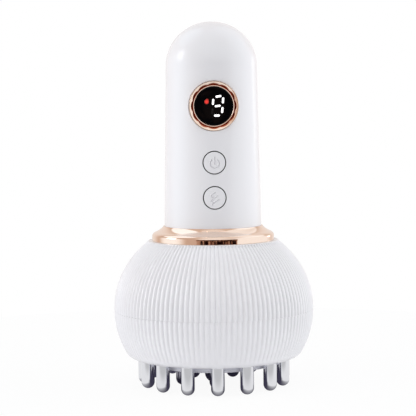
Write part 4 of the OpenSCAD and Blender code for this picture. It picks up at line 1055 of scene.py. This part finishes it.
def lobe(n, direction, axis, begin, full, amount):
    """Smooth patch of the sky round an axis, as a node output."""
    dot = n.add("ShaderNodeVectorMath")
    dot.operation = "DOT_PRODUCT"
    dot.inputs[1].default_value = Vector(axis).normalized()
    n.link(direction, dot.inputs[0])
    return ramp(n, dot.outputs["Value"], begin, full, 0, amount)


def sky(n, direction, ambient, lobes):
    """An even glow and the lobes in it, added up."""
    total = ambient
    for values in lobes:
        total = maths(n, "ADD", total, lobe(n, direction, *values))
    return total


def background(n, color, strength=1.0):
    node = n.add("ShaderNodeBackground")
    for name, value in (("Color", color), ("Strength", strength)):
        if isinstance(value, tuple):
            node.inputs[name].default_value = (*value, 1)
        elif isinstance(value, float):
            node.inputs[name].default_value = value
        else:
            n.link(value, node.inputs[name])
    return node.outputs[0]


def emission(n, color, strength=1.0):
    node = n.add("ShaderNodeEmission")
    if isinstance(color, tuple):
        node.inputs["Color"].default_value = (*color, 1)
    else:
        n.link(color, node.inputs["Color"])
    node.inputs["Strength"].default_value = strength
    return node.outputs[0]


def add_shaders(n, a, b):
    node = n.add("ShaderNodeAddShader")
    n.link(a, node.inputs[0])
    n.link(b, node.inputs[1])
    return node.outputs[0]


def mix_shaders(n, factor, a, b):
    """Shader a where the factor is 0 and b where it is 1."""
    node = n.add("ShaderNodeMixShader")
    if isinstance(factor, float):
        node.inputs[0].default_value = factor
    else:
        n.link(factor, node.inputs[0])
    n.link(a, node.inputs[1])
    n.link(b, node.inputs[2])
    return node.outputs[0]


def polished_tone(n, direction):
    """The reflected studio: its softboxes and its dark side, tinted warm."""
    blotch = n.add("ShaderNodeTexNoise")
    blotch.inputs["Scale"].default_value = BROWN_SCALE
    blotch.inputs["Detail"].default_value = BROWN_DETAIL
    n.link(direction, blotch.inputs["Vector"])
    brown = ramp(n, blotch.outputs["Fac"], BROWN_BEGIN, BROWN_FULL, DARK_TONE, BROWN_TONE)
    axes = n.add("ShaderNodeSeparateXYZ")
    n.link(direction, axes.inputs[0])
    low = ramp(n, axes.outputs["Z"], DARK_TOP, DARK_TOP_END, 1, 0)
    front = lobe(n, direction, DARK_AXIS, DARK_BEGIN, DARK_FULL, 1.0)
    zone = maths(n, "MULTIPLY", low, front)
    bright = maths(n, "MINIMUM", sky(n, direction, GLOSS_AMBIENT, GLOSS_LOBES), GLOSS_MOST)
    kept = maths(n, "MULTIPLY", bright, maths(n, "SUBTRACT", 1.0, zone))
    tone = maths(n, "ADD", kept, maths(n, "MULTIPLY", brown, zone))
    warm = n.add("ShaderNodeCombineColor")
    for name, power in zip(CHANNELS, WARM_POWERS):
        n.link(maths(n, "POWER", tone, power), warm.inputs[name])
    return warm.outputs[0]


def studio_world():
    """White to the camera, softboxes to matt surfaces, and a richer studio to reflections."""
    world = bpy.data.worlds.new("studio")
    scene.world = world
    world.use_nodes = True
    n = Nodes(world.node_tree)
    out = n.add("ShaderNodeOutputWorld")
    direction = n.add("ShaderNodeTexCoord").outputs["Generated"]
    soft = background(n, SOFT_COLOUR, sky(n, direction, AMBIENT, LOBES))
    mirror = background(n, polished_tone(n, direction))
    lamps = background(n, LAMP_COLOUR, sky(n, direction, 0.0, GLOSS_LAMPS))
    plain_white = background(n, PURE_WHITE)
    seen = n.add("ShaderNodeLightPath").outputs
    lit = mix_shaders(n, seen["Is Glossy Ray"], soft, add_shaders(n, mirror, lamps))
    n.link(mix_shaders(n, seen["Is Camera Ray"], lit, plain_white), out.inputs["Surface"])


def floor_material():
    """White to the camera with a faint shadow, toned for reflections and carrying a painted shadow
    of the head for them, matt to everything else, and clear from below."""
    mat = bpy.data.materials.new("look_floor")
    mat.use_nodes = True
    n = Nodes(mat.node_tree)
    out = n.add("ShaderNodeOutputMaterial")
    diffuse = n.add("ShaderNodeBsdfDiffuse")
    diffuse.inputs["Color"].default_value = (*FLOOR_COLOUR, 1)
    matt = diffuse.outputs[0]
    place = n.add("ShaderNodeTexCoord").outputs["Object"]
    reach = n.add("ShaderNodeVectorMath")
    reach.operation = "LENGTH"
    n.link(place, reach.inputs[0])
    axes = n.add("ShaderNodeSeparateXYZ")
    n.link(place, axes.inputs[0])
    near = ramp(n, axes.outputs["Y"], FLOOR_FRONT_Y, FLOOR_SIDE_Y, FLOOR_FRONT, FLOOR_SIDE)
    far = ramp(n, axes.outputs["Y"], FLOOR_FAR_FULL_Y, FLOOR_FAR_Y, FLOOR_FAR, 0)
    level = maths(n, "MAXIMUM", near, far)
    open_floor = n.add("ShaderNodeCombineColor")
    for name in CHANNELS:
        n.link(level, open_floor.inputs[name])
    # The painted shadow of the head on the floor, which only reflections see
    fade = ramp(n, reach.outputs["Value"], FLOOR_SHADOW_R, FLOOR_SHADOW_END_R, 0, 1)
    shine = emission(n, blend(n, fade, FLOOR_SHADOW_COLOUR, open_floor.outputs[0]))
    lit = add_shaders(n, matt, emission(n, PURE_WHITE, FLOOR_GLOW))
    shaded = mix_shaders(n, FLOOR_SHADE, emission(n, PURE_WHITE), matt)
    seen = n.add("ShaderNodeLightPath").outputs
    unseen = mix_shaders(n, seen["Is Glossy Ray"], lit, shine)
    above = mix_shaders(n, seen["Is Camera Ray"], unseen, shaded)
    behind = n.add("ShaderNodeNewGeometry").outputs["Backfacing"]
    clear = n.add("ShaderNodeBsdfTransparent").outputs[0]
    n.link(mix_shaders(n, behind, above, clear), out.inputs["Surface"])
    return mat


def card(name, corners, mat):
    """A flat piece of the stage."""
    mesh = bpy.data.meshes.new(name)
    mesh.from_pydata([Vector(c) * MM for c in corners], [], [tuple(range(len(corners)))])
    mesh.materials.append(mat)
    obj = bpy.data.objects.new(name, mesh)
    scene.collection.objects.link(obj)


studio_world()
card("floor", circle(64, FLOOR_R, 0), floor_material())

# Finish
scene.view_settings.view_transform = "Standard"
